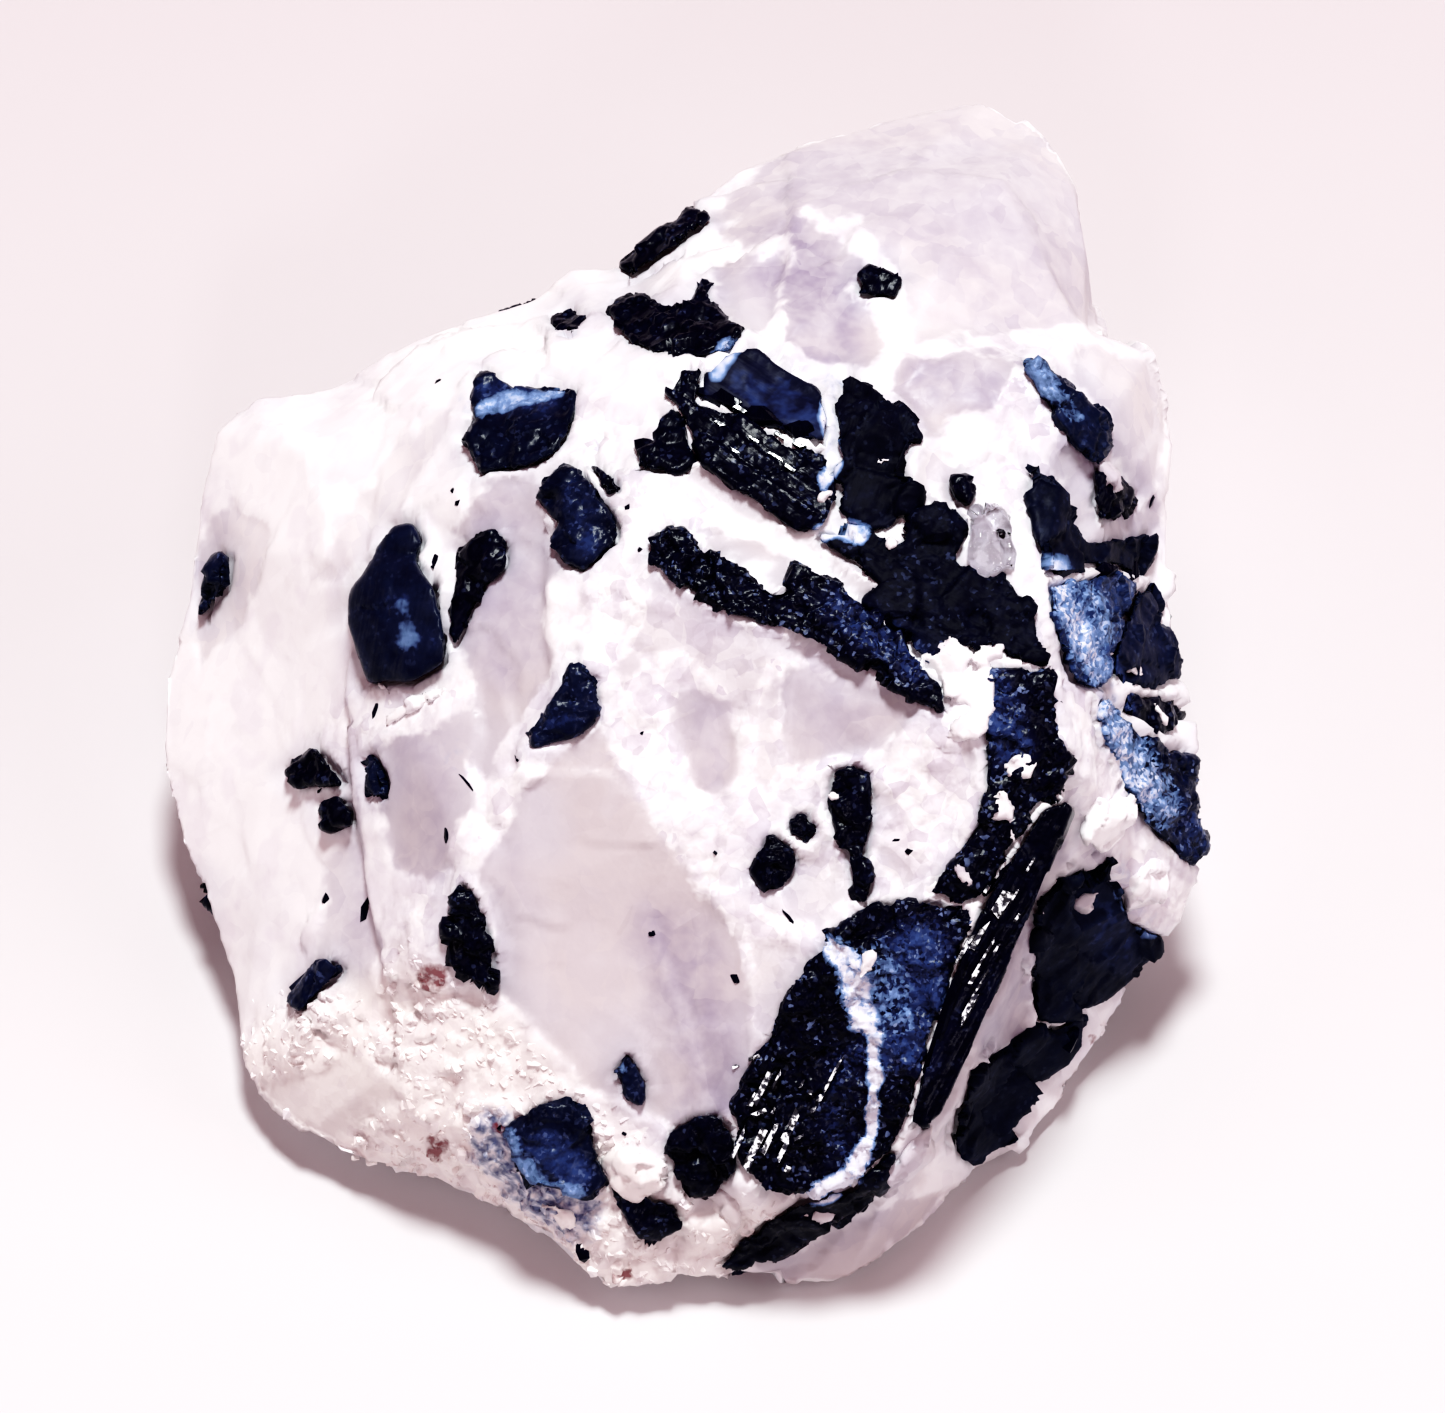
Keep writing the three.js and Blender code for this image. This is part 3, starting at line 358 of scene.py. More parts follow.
# Shiny laths on the striated faces, which catch one of the two lamps: the lamp, direction in
# degrees, and rows of place, length and width
KEY, FRONT = 0, 3
LATHS = [
    # along the edge bar
    (FRONT, 60, [
        (12.8, -8.1, 1.1, 0.4), (13.3, -7.8, 0.7, 0.1), (11.3, -9.9, 1.9, 0.17),
        (11.9, -9.4, 1.5, 0.24), (12.1, -10.2, 2.1, 0.1), (11.5, -12.2, 2.3, 0.28),
        (10.8, -11.8, 0.7, 0.32), (10.4, -12.4, 0.4, 0.16), (11.7, -11.0, 0.8, 0.18),
        (12.6, -9.9, 0.7, 0.1), (11.0, -10.9, 0.6, 0.1), (12.0, -11.2, 1.0, 0.08),
        (13.9, -6.6, 0.8, 0.12), (13.4, -8.7, 0.4, 0.14), (12.2, -7.5, 0.35, 0.12),
    ]),
    # at the low end of the slab
    (FRONT, 64, [
        (3.3, -15.4, 1.6, 0.26), (2.35, -17.6, 1.3, 0.2), (3.0, -17.8, 1.7, 0.38),
        (3.5, -17.6, 1.7, 0.2), (4.05, -18.0, 1.5, 0.2), (4.4, -17.0, 1.6, 0.3),
        (6.05, -15.0, 1.9, 0.12), (2.9, -15.9, 0.6, 0.2), (3.9, -15.0, 0.9, 0.1),
        (4.9, -15.2, 0.5, 0.1), (5.6, -15.8, 0.5, 0.2), (5.2, -15.6, 0.4, 0.18),
        (2.7, -18.5, 0.6, 0.3), (4.3, -18.7, 0.25, 0.2), (3.7, -16.4, 0.4, 0.1),
    ]),
    (FRONT, 25, [
        (3.2, -16.4, 1.0, 0.2), (4.8, -17.4, 0.5, 0.12), (5.3, -16.3, 0.35, 0.18),
        (3.0, -14.2, 0.6, 0.14), (2.2, -14.6, 0.4, 0.16),
    ]),
    (KEY, -35, [
        (2.4, 11.5, 0.6, 0.16), (3.1, 11.1, 0.9, 0.22), (3.9, 10.6, 0.8, 0.18),
        (4.7, 10.1, 0.7, 0.2), (2.9, 10.4, 0.5, 0.1), (3.8, 9.7, 0.7, 0.1), (1.6, 11.0, 0.5, 0.12),
        (4.4, 9.2, 0.5, 0.12), (2.2, 9.9, 0.4, 0.1),
    ]),
]

# Small dark chips in the quartz: place, length, width and direction in degrees
SPECKS = [
    (-1.1, -9.3, 0.35, 0.3, 20), (1.4, -6.1, 0.4, 0.2, -40), (4.4, -8.7, 1.0, 0.25, -50),
    (2.1, -11, 0.8, 0.5, -50), (-2.1, 7.7, 0.35, 0.3, 90), (-1.5, -1.3, 0.25, 0.2, 0),
    (-6.5, -2.3, 0.5, 0.3, 60), (-1.6, 6, 0.3, 0.25, 30), (-9.8, 5.6, 1.0, 0.3, 85),
    (-8.5, -3.3, 1.3, 0.15, -55), (-12.2, -0.4, 0.8, 0.35, 70), (-10.2, 0.2, 1.0, 0.4, -30),
    (-12.6, -8.3, 1.5, 0.5, 80), (-14.2, -7.9, 0.7, 0.5, 60), (-14.4, -3.6, 0.6, 0.25, -10),
    (-9.3, -5.4, 0.9, 0.3, -80), (-3.9, -22, 1.2, 0.7, -75), (11.1, 1.7, 0.5, 0.4, 50),
    (18.9, 8, 0.7, 0.35, 80), (8.5, -5.6, 0.6, 0.2, 10), (9.1, -6, 0.4, 0.3, 30),
    (11.2, 1.6, 0.45, 0.35, 50), (11.25, 8.1, 1.6, 0.5, -72), (12.75, 6.6, 0.9, 0.4, -55),
    (15.7, -13.5, 1.4, 0.7, 75), (10.5, -12.9, 8.4, 0.6, 73), (12.7, -7.1, 3.2, 0.5, 57),
    (1.5, 12.1, 2.3, 0.9, -22), (3.2, 11.4, 2.6, 1.0, -20), (4.8, 10.85, 2.0, 0.9, -20),
    (15.4, 5.0, 1.8, 1.0, -5), (16.9, 5.0, 2.0, 1.0, 5), (18.2, 5.2, 1.4, 0.8, 20),
    (-9.7, 12.8, 0.4, 0.3, 0), (-7.2, -17.1, 0.5, 0.35, 40), (-2.3, -17.3, 0.4, 0.3, 0),
    (-8.9, 7.9, 0.4, 0.3, 60), (-9.1, 8.4, 0.3, 0.25, 0),
]


# Drawing plane and frame

def view_axes():
    """Unit vectors of u, v and w in the frame."""
    sin_e = math.sin(VIEW_ELEVATION)
    cos_e = math.cos(VIEW_ELEVATION)
    return np.array([[1, 0, 0], [0, sin_e, cos_e], [0, -cos_e, sin_e]], float)


AXES = view_axes()
SIGHT = AXES[2]


def drawing_origin():
    """Where the drawing's origin lies in the frame, from the outermost left and lowest points."""
    low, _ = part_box("quartz")
    low_rim = np.array(LOW_RIM) @ AXES
    return np.array([low.x / MM - LEFT_RIM_U, low.y / MM - low_rim[1], 0.0])


def to_drawing(points, origin):
    return (points - origin) @ AXES.T


def from_drawing(points, origin):
    return np.asarray(points, float) @ AXES + origin


def drawn_direction(degrees):
    """Unit vector of a direction in the drawing plane."""
    angle = math.radians(degrees)
    return AXES[0] * math.cos(angle) + AXES[1] * math.sin(angle)


# Repeatable noise

def hashed(cells, salt):
    """Repeatable numbers from 0 to 1, one for each row of whole numbers."""
    key = cells[:, 0] * 73856093 ^ cells[:, 1] * 19349663 ^ cells[:, 2] * 83492791
    key = (key ^ (salt * 2654435761 + SEED * 97)) & 0xFFFFFFFF
    for shift, factor in ((16, 0x45D9F3B), (15, 0x119DE1F3)):
        key = ((key ^ (key >> shift)) * factor) & 0xFFFFFFFF
    return ((key ^ (key >> 16)) & 0xFFFFFF) / float(0xFFFFFF)


def hashed_vector(cells, salt):
    return np.stack([hashed(cells, salt + k) for k in range(3)], axis=1) - 0.5


def value_noise(points, size, salt):
    """Smooth noise from -1 to 1 with features of the given size."""
    scaled = points / size
    home = np.floor(scaled).astype(np.int64)
    part = scaled - home
    part = part * part * (3 - 2 * part)
    total = np.zeros(len(points))
    for corner in itertools.product((0, 1), repeat=3):
        corner = np.array(corner)
        weight = np.prod(np.where(corner, part, 1 - part), axis=1)
        total += weight * hashed(home + corner, salt)
    return 2 * total - 1


def layered_noise(points, size, salt, layers=3):
    total = np.zeros(len(points))
    for layer in range(layers):
        total += value_noise(points, size / 2 ** layer, salt + 31 * layer) / 2 ** layer
    return total / (2 - 2 ** (1 - layers))


def warped(points, size, amount, salt):
    shift = [value_noise(points, size, salt + k) for k in range(3)]
    return points + amount * np.stack(shift, axis=1)


def worley(points, size, salt):
    """Distances to the two nearest seeds of a jittered grid, the nearest seed and its cell."""
    scaled = points / size
    home = np.floor(scaled).astype(np.int64)
    nearest = np.full(len(points), 9.0)
    second = np.full(len(points), 9.0)
    seed = np.zeros_like(points)
    cell = np.zeros_like(home)
    for offset in itertools.product((-1, 0, 1), repeat=3):
        candidate = home + np.array(offset)
        spot = candidate + 0.5 + 0.9 * hashed_vector(candidate, salt)
        gap = np.linalg.norm(scaled - spot, axis=1)
        closer = gap < nearest
        second = np.where(closer, nearest, np.minimum(second, gap))
        nearest = np.where(closer, gap, nearest)
        seed[closer] = spot[closer]
        cell[closer] = candidate[closer]
    return nearest * size, second * size, seed * size, cell


def chips(points, size, lean, step, salt):
    """Relief of flat broken facets, each with a lean and a height of its own."""
    _, _, seed, cell = worley(points, size, salt)
    slope = 2 * lean * hashed_vector(cell, salt + 11)
    height = 2 * step * (hashed(cell, salt + 17) - 0.5)
    return np.einsum("ij,ij->i", points - seed, slope) + height


def smoothstep(low, high, value):
    t = np.clip((value - low) / (high - low), 0, 1)
    return t * t * (3 - 2 * t)


# Drawn shapes

def signed_distance(spots, line):
    """Distance of points in the drawing plane to a broken line, negative on its left."""
    best = np.full(len(spots), 1e9)
    side = np.ones(len(spots))
    for start, end in zip(line[:-1], line[1:]):
        start, end = np.array(start, float), np.array(end, float)
        along = end - start
        away = spots - start
        t = np.clip(away @ along / (along @ along), 0, 1)
        gap = np.linalg.norm(away - t[:, None] * along, axis=1)
        cross = along[0] * away[:, 1] - along[1] * away[:, 0]
        closer = gap < best
        best[closer] = gap[closer]
        side[closer] = np.where(cross[closer] > 0, -1, 1)
    return best * side


def distance_to(spots, u, v):
    return np.linalg.norm(spots - np.array([u, v]), axis=1)


def depth_inside(spots, outline):
    """Distance to the outline, positive inside it."""
    closed = list(outline) + [outline[0]]
    inside = np.zeros(len(spots), bool)
    for (x0, y0), (x1, y1) in zip(closed[:-1], closed[1:]):
        if y0 == y1:
            continue
        crosses = (y0 > spots[:, 1]) != (y1 > spots[:, 1])
        at = x0 + (spots[:, 1] - y0) * (x1 - x0) / (y1 - y0)
        inside ^= crosses & (spots[:, 0] < at)
    distance = np.abs(signed_distance(spots, closed))
    return np.where(inside, distance, -distance)


def patches(spots, rows):
    """Strength of soft drawn strokes at points of the drawing plane."""
    total = np.zeros(len(spots))
    for strength, half_width, line in rows:
        distance = np.abs(signed_distance(spots, line))
        stroke = strength * smoothstep(1.7 * half_width, 0.4 * half_width, distance)
        total = np.maximum(total, stroke)
    return total


# Meshes as arrays

def node_arrays(node):
    """Points in millimetres and triangles of a frame node, with its split corners joined."""
    mesh = node.data
    mesh.calc_loop_triangles()
    points = np.empty(len(mesh.vertices) * 3, np.float32)
    mesh.vertices.foreach_get("co", points)
    points = points.reshape(-1, 3).astype(float) / MM
    faces = np.empty(len(mesh.loop_triangles) * 3, np.int32)
    mesh.loop_triangles.foreach_get("vertices", faces)
    _, first, place = np.unique(np.round(points, 4), axis=0, return_index=True,
                                return_inverse=True)
    faces = place.reshape(-1)[faces].reshape(-1, 3)
    a, b, c = faces.T
    return points[first], faces[(a != b) & (b != c) & (c != a)]


def make_mesh(name, points, faces, smooth=True):
    mesh = bpy.data.meshes.new(name)
    sides = faces.shape[1]
    mesh.vertices.add(len(points))
    mesh.vertices.foreach_set("co", np.asarray(points, np.float32).ravel())
    mesh.loops.add(faces.size)
    mesh.loops.foreach_set("vertex_index", np.asarray(faces, np.int32).ravel())
    mesh.polygons.add(len(faces))
    mesh.polygons.foreach_set("loop_start", np.arange(0, faces.size, sides, dtype=np.int32))
    mesh.update(calc_edges=True)
    mesh.polygons.foreach_set("use_smooth", np.full(len(faces), smooth))
    return mesh


def normals_of(points, faces):
    """Normals at the corners of a mesh of triangles or quads, weighted by area."""
    corners = points[faces]
    face_normal = np.cross(corners[:, 2] - corners[:, 0], corners[:, -1] - corners[:, 1])
    total = np.zeros_like(points)
    for k in range(faces.shape[1]):
        for axis in range(3):
            total[:, axis] += np.bincount(faces[:, k], face_normal[:, axis], len(points))
    return total / np.maximum(np.linalg.norm(total, axis=1, keepdims=True), 1e-12)


def joined(parts):
    """Several (points, faces) as one."""
    shifts = np.cumsum([0] + [len(part[0]) for part in parts[:-1]])
    faces = [part[1] + shift for part, shift in zip(parts, shifts)]
    return np.concatenate([part[0] for part in parts]), np.concatenate(faces)


def swollen(points, faces, distance):
    return points + distance * normals_of(points, faces), faces


def remeshed(points, faces, voxel, smoothing):
    """One even skin of quads around closed bodies."""
    work = bpy.data.objects.new("work", make_mesh("work", points, faces))
    bpy.context.scene.collection.objects.link(work)
    grid = work.modifiers.new("grid", "REMESH")
    grid.mode = "VOXEL"
    grid.voxel_size = voxel
    if smoothing:
        ease = work.modifiers.new("ease", "SMOOTH")
        ease.iterations = smoothing
        ease.factor = 0.5
    evaluated = work.evaluated_get(bpy.context.evaluated_depsgraph_get())
    mesh = evaluated.to_mesh()
    skin = np.empty(len(mesh.vertices) * 3, np.float32)
    mesh.vertices.foreach_get("co", skin)
    quads = np.empty(len(mesh.loops), np.int32)
    mesh.loops.foreach_get("vertex_index", quads)
    evaluated.to_mesh_clear()
    bpy.data.objects.remove(work)
    return skin.reshape(-1, 3).astype(float), quads.reshape(-1, 4)


def tree_of(points, faces):
    return BVHTree.FromPolygons(points.tolist(), faces.tolist())


def add_piece(name, points, faces, material, slot, marks=(), smooth=True, node=None):
    """A finished piece of the object, in metres, riding on the one body."""
    mesh = make_mesh(name, points * MM, faces, smooth)
    for label, values in dict(marks).items():
        layer = mesh.attributes.new(label, "FLOAT", "POINT")
        layer.data.foreach_set("value", np.asarray(values, np.float32))
    mesh.materials.append(material)
    piece = bpy.data.objects.new(name, mesh)
    bpy.context.scene.collection.objects.link(piece)
    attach(piece, "root")
    if node:
        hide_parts(node)
    return piece


# The quartz

def drawn_panes(spots):
    """Depth into the clear faces in millimetres, and how clear they are."""
    depth = np.full(len(spots), -3.0)
    clearness = np.zeros(len(spots))
    for share, outline in PANES:
        inside = depth_inside(spots, outline)
        clearness = np.maximum(clearness, share * smoothstep(-0.5, 0.3, inside))
        depth = np.maximum(depth, inside)
    for half_width, line in VEINS:
        depth = np.minimum(depth, np.abs(signed_distance(spots, line)) - half_width)
    return depth, clearness


def hidden_panes(points):
    """The same for the sides that the drawing doesn't show: broken cells, some of them milky."""
    near, far, _, cell = worley(warped(points, 4, 1.2, 40), 7.5, 41)
    depth = np.where(hashed(cell, 44) < 0.4, -1.0, 0.5 * (far - near) - 0.9)
    return depth, 0.3 + 0.7 * hashed(cell, 43)


def paint_quartz(points, normals, origin):
    """Depth into clear faces, their clearness, how sugary, shares of cream, rust and blue stain, and
    mauve depth with painted shade.
    """
    spots = to_drawing(warped(points, 1.6, 0.3, 3), origin)[:, :2]
    seen = smoothstep(-0.15, 0.15, normals @ SIGHT)
    depth, clearness = drawn_panes(spots)
    hidden_depth, hidden_clearness = hidden_panes(points)
    depth = seen * depth + (1 - seen) * hidden_depth
    clearness = seen * clearness + (1 - seen) * hidden_clearness
    cream = seen * smoothstep(-1.2, 1.0, depth_inside(spots, CREAM))
    low = smoothstep(8, 1, points[:, 2]) * smoothstep(-0.3, 0.4, value_noise(points, 7, 60))
    cream = np.maximum(cream, 0.7 * low * (1 - seen))
    sugar = smoothstep(-1.0, 0.6, depth_inside(spots, SUGAR))
    sugar = np.maximum(np.maximum(sugar, patches(spots, SUGAR_STROKES)), 0.8 * cream)
    coarse = smoothstep(0.0, 0.5, value_noise(points, 6, 62))
    sugar = seen * sugar + (1 - seen) * np.maximum(coarse, 0.6 * cream)
    rust = np.zeros(len(points))
    for u, v, radius in RUST_SPOTS:
        gap = distance_to(spots, u, v)
        rust = np.maximum(rust, seen * smoothstep(radius, 0.3 * radius, gap))
    stain = seen * patches(spots, STAINS)
    # the seen side takes mauve depth and painted shade from the drawn strokes, the hidden sides a random
    # mauve
    hidden_mauve = smoothstep(0.0, 0.6, value_noise(points, 8, 64)) * hidden_clearness
    depth_and_shade = seen * patches(spots, MAUVE_DEPTHS_AND_SHADE) + (1 - seen) * 0.6 * hidden_mauve
    return {"depth": np.clip(depth, -1.5, 1.5), "clearness": clearness, "cream": cream,
            "depth_and_shade": depth_and_shade, "rust": rust, "stain": stain, "sugar": sugar}


def quartz_relief(points, normals, marks, origin):
    """Height of the broken surface over the smooth stone, and a share of painted shade along the walls
    between its sugary grains.
    """
    clear = smoothstep(-0.15, 0.25, marks["depth"])
    milky = 1 - clear
    bent = warped(points, 2.5, 0.5, 5)
    sugary = milky * marks["sugar"]
    granular = milky * marks["cream"]
    left = 1 - 0.65 * smoothstep(LEFT_FLANK_U + 3, LEFT_FLANK_U, to_drawing(points, origin)[:, 0])
    relief = 0.3 * layered_noise(points, 9, 1, 2) + 0.12 * milky
    relief += left * (0.25 + 0.5 * milky) * chips(bent, 5.5, 0.09, 0.12, 2)
    relief += left * (0.05 + 0.3 * milky + 0.3 * granular) * chips(bent, 2.2, 0.18, 0.05, 4)
    relief += (0.25 * sugary + 0.6 * granular) * chips(points, 0.9, 0.3, 0.08, 6)
    spots = to_drawing(warped(points, 1.2, 0.15, 8), origin)[:, :2]
    seen = smoothstep(-0.1, 0.2, normals @ SIGHT)
    for height, reach, line in STEPS:
        side = signed_distance(spots, line)
        fade = np.exp(-np.maximum(side, 0) / reach)
        relief -= seen * height * smoothstep(-0.15, 0.3, side) * fade
    near, far, _, _ = worley(points, 0.9, 6)
    # painted shade along the walls between the sugary grains
    crevice_shade = sugary * smoothstep(0.22, 0.0, far - near)
    return relief, crevice_shade


def under_crystals(points, crystal_tree):
    """1 where the stone lies in or under a crystal, 0 beside it, and the distance to it."""
    near = np.full(len(points), NEAR_CRYSTAL)
    for index, spot in enumerate(points.tolist()):
        place, normal, _, gap = crystal_tree.find_nearest(spot, NEAR_CRYSTAL)
        if place is not None:
            inside = (Vector(spot) - place).dot(normal) < -SURELY_INSIDE * gap
            near[index] = -gap if inside else gap
    return smoothstep(0.2, 0.0, near), near


def build_quartz(shapes, origin):
    bodies = [swollen(*shape, JOINT_GAP) for shape in shapes.values()]
    points, faces = remeshed(*joined(bodies), STONE_VOXEL, 3)
    normals = normals_of(points, faces)
    points = points - JOINT_GAP * normals
    crystals = joined([shape for name, shape in shapes.items() if name != "quartz"])
    under, near = under_crystals(points, tree_of(*crystals))
    marks = paint_quartz(points, normals, origin)
    relief, crevice_shade = quartz_relief(points, normals, marks, origin)
    relief = relief * (1 - 0.8 * under) - UNDER_CRYSTAL * under
    on_base = smoothstep(FLAT_HEIGHT, 0.1, points[:, 2]) * smoothstep(-0.5, -0.8, normals[:, 2])
    points = points + (relief * (1 - on_base))[:, None] * normals
    points[:, 2] = np.maximum(points[:, 2], 0) * (1 - on_base)
    # painted shade in the grooves between grains
    marks["crevice_shade"] = crevice_shade
    # painted shade: the quartz goes blue grey within 1.3 mm of a crystal
    marks["shade_beside_crystals"] = smoothstep(1.3, 0.3, near)
    marks["tone"] = np.full(len(points), 0.5)
    add_piece("quartz_body", points, faces, quartz_material(), "quartz", marks, node="quartz")
    return points, faces, marks, under


# Small polyhedra: quartz grains and tourmaline chips

def rough_polyhedron(number):
    """A small irregular convex body about one unit across, from its corners' hull."""
    cells = np.array([[number, k, 5] for k in range(15)], np.int64)
    corners = hashed_vector(cells, 90)
    corners /= np.linalg.norm(corners, axis=1, keepdims=True) / 0.5
    corners *= 0.85 + 0.3 * hashed(cells, 95)[:, None]
    triangles = []
    for a, b, c in itertools.combinations(range(len(corners)), 3):
        normal = np.cross(corners[b] - corners[a], corners[c] - corners[a])
        side = (corners - corners[a]) @ normal
        if (side <= 1e-9).all():
            triangles.append((a, b, c))
        elif (side >= -1e-9).all():
            triangles.append((a, c, b))
    used = sorted({corner for triangle in triangles for corner in triangle})
    place = {corner: k for k, corner in enumerate(used)}
    faces = np.array([[place[corner] for corner in triangle] for triangle in triangles])
    return corners[used], faces


TEMPLATES = [rough_polyhedron(number) for number in range(8)]


def random_turn(cell, salt):
    """A repeatable rotation matrix for one grid cell."""
    first, second = hashed_vector(cell[None], salt)[0], hashed_vector(cell[None], salt + 5)[0]
    x = first / np.linalg.norm(first)
    y = np.cross(second, x)
    y /= np.linalg.norm(y)
    return np.stack([x, y, np.cross(x, y)])


def grain_at(centre, size, cell):
    corners, faces = TEMPLATES[int(hashed(cell[None], 97)[0] * 7.99)]
    stretch = 0.8 + 0.5 * (hashed_vector(cell[None], 101)[0] + 0.5)
    return (corners * stretch * size) @ random_turn(cell, 107) + centre, faces


def crust_grains(points, faces, marks, under):
    """Sugary grains on the cream-coloured quartz, each with its point of the stone and tone."""
    normals = normals_of(points, faces)
    near, _, _, cell = worley(points, GRAIN_CELL, 120)
    _, key = np.unique(cell, axis=0, return_inverse=True)
    key = key.reshape(-1)
    order = np.lexsort((near, key))
    first = order[np.unique(key[order], return_index=True)[1]]
    milky = smoothstep(0.1, -0.5, marks["depth"][first])
    chance = 1.2 * milky * marks["cream"][first]
    chance *= (1 - under[first]) * (points[first, 2] > 1.5)
    for index in first[hashed(cell[first], 122) < chance]:
        size = 0.35 + 0.3 * hashed(cell[index][None], 123)[0]
        centre = points[index] - GRAIN_DEPTH * size * normals[index]
        tone = 0.5 * hashed(cell[index][None], 124)[0]
        yield grain_at(centre, size, cell[index]), index, tone


def build_grains(stone):
    rows = list(crust_grains(*stone))
    points, faces = joined([grain for grain, _, _ in rows])
    counts = [len(grain[0]) for grain, _, _ in rows]
    beneath = np.repeat([index for _, index, _ in rows], counts)
    marks = {name: values[beneath] for name, values in stone[2].items()}
    marks["tone"] = np.repeat([tone for _, _, tone in rows], counts)
    add_piece("quartz_grains", points, faces, quartz_material(), "quartz", marks, smooth=False)


def build_blocks(origin, skins):
    """Larger quartz grains, grown into one skin where they meet."""
    parts = []
    centres = []
    for number, (u, v, length, width, direction, _) in enumerate(BLOCKS):
        spot, _, _ = dropped(u, v, origin, skins)
        normal = smooth_normal(u, v, origin, skins)
        corners, faces = TEMPLATES[number % len(TEMPLATES)]
        sized = BLOCK_SCALE * corners * np.array([length, width, 0.6 * width])
        parts.append((sized @ laid(direction, normal) + spot, faces))
        centres.append(spot)
    points, quads = remeshed(*joined(parts), BLOCK_VOXEL, 1)
    relief = chips(points, 0.8, 0.25, 0.05, 150)
    points = points + relief[:, None] * normals_of(points, quads)
    widths = np.array([row[3] for row in BLOCKS])
    gaps = np.linalg.norm(points[:, None] - np.array(centres)[None], axis=2) / widths
    owner = gaps.argmin(axis=1)
    clear = np.array([row[5] for row in BLOCKS])[owner]
    spots = to_drawing(points, origin)[:, :2]
    marks = {name: np.zeros(len(points)) for name in ("rust", "stain", "crevice_shade", "shade_beside_crystals")}
    marks["clearness"] = clear
    marks["depth"] = 2 * clear - 0.6
    marks["depth_and_shade"] = 0.4 * clear
    marks["sugar"] = np.full(len(points), 0.3)
    marks["tone"] = 0.5 * hashed(np.stack([owner] * 3, axis=1), 151)
    marks["cream"] = smoothstep(-1.2, 1.0, depth_inside(spots, CREAM))
    add_piece("quartz_blocks", points, quads, quartz_material(), "quartz", marks)


def dropped(u, v, origin, skins):
    """Where a point of the drawing lands on the visible skin, and the normal there."""
    start = from_drawing((u, v, DROP_HEIGHT), origin)
    best = None
    for skin in skins:
        spot, normal, _, distance = skin.ray_cast(start.tolist(), (-SIGHT).tolist())
        if spot is not None and (best is None or distance < best[2]):
            best = (np.array(spot), np.array(normal), distance)
    return best


def laid(direction, normal):
    """Rows of the axes of a small piece that lies in a surface: along, across and up."""
    along = flattened(direction, normal)
    return np.stack([along, np.cross(normal, along), normal])


def flattened(direction, normal):
    """Unit vector of the drawing's direction in degrees, laid into a surface."""
    along = drawn_direction(direction)
    along -= normal * (along @ normal)
    return along / np.linalg.norm(along)


def rise_over(skins, origin, centre, along, across, up, length, width):
    """How far a flat top has to be lifted to lie over the skin at its corners."""
    rise = 0.0
    for end, side in itertools.product((-0.45, 0, 0.45), (-0.5, 0.5)):
        corner = centre + along * end * length + across * side * width
        u, v, _ = to_drawing(corner, origin)
        skin = dropped(u, v, origin, skins)[0]
        rise = max(rise, (skin - corner) @ up)
    return min(rise, LATH_RISE)


def lath(centre, along, across, up, length, width, number):
    """A thin bar with slanted ends, its top square to up."""
    cells = np.array([[number, k, 9] for k in range(4)], np.int64)
    cuts = hashed(cells, 140) * 0.45 * length
    narrow = 1 - 0.5 * hashed(cells, 141)
    corners = []
    for height in (LATH_FOOT, LATH_TOP):
        for end, side in ((-1, -1), (1, -1), (1, 1), (-1, 1)):
            place = (end + 1) + (side + 1) // 2
            corners.append(centre + along * end * (0.6 * length - cuts[place])
                           + across * side * 0.6 * width * narrow[place] + up * height)
    faces = [(0, 3, 2, 1), (4, 5, 6, 7), (0, 1, 5, 4), (1, 2, 6, 5), (2, 3, 7, 6), (3, 0, 4, 7)]
    return np.array(corners), np.array(faces)


def build_laths(origin, skins):
    parts = []
    for lamp, direction, rows in LATHS:
        to_lamp = np.array(LAMPS[lamp][2]) / np.linalg.norm(LAMPS[lamp][2])
        mirror = (to_lamp + SIGHT) / np.linalg.norm(to_lamp + SIGHT)
        for u, v, length, width in rows:
            spot, _, _ = dropped(u, v, origin, skins)
            along = flattened(direction, mirror)
            across = np.cross(mirror, along)
            spot = spot + mirror * rise_over(skins, origin, spot, along, across, mirror, length,
                                             width)
            parts.append(lath(spot, along, across, mirror, length, width, len(parts)))
    points, faces = joined(parts)
    add_piece("tourmaline_laths", points, faces, lath_material(), "tourmaline_black",
              smooth=False)


def smooth_normal(u, v, origin, skins):
    """Mean lie of the surface round a point of the drawing."""
    steps = ((-NORMAL_REACH, 0), (NORMAL_REACH, 0), (0, -NORMAL_REACH), (0, NORMAL_REACH))
    places = [dropped(u + a, v + b, origin, skins)[0] for a, b in steps]
    normal = np.cross(places[1] - places[0], places[3] - places[2])
    return normal / np.linalg.norm(normal)


def build_specks(origin, skins):
    parts = []
    for number, (u, v, length, width, direction) in enumerate(SPECKS):
        spot, normal, _ = dropped(u, v, origin, skins)
        corners, faces = TEMPLATES[number % len(TEMPLATES)]
        sized = corners * np.array([length, width, 0.7 * width])
        sunk = spot - SPECK_DEPTH * width * normal
        parts.append((sized @ laid(direction, normal) + sunk, faces))
    points, faces = joined(parts)
    marks = {name: np.zeros(len(points)) for name in ("frost", "grain_and_glints", "matt")}
    marks["blue"] = np.full(len(points), 0.1)
    marks["across"], marks["along"] = points[:, 0], points[:, 1]
    add_piece("tourmaline_specks", points, faces, tourmaline_material("tourmaline_black"),
              "tourmaline_black", marks, smooth=False)


# The tourmaline

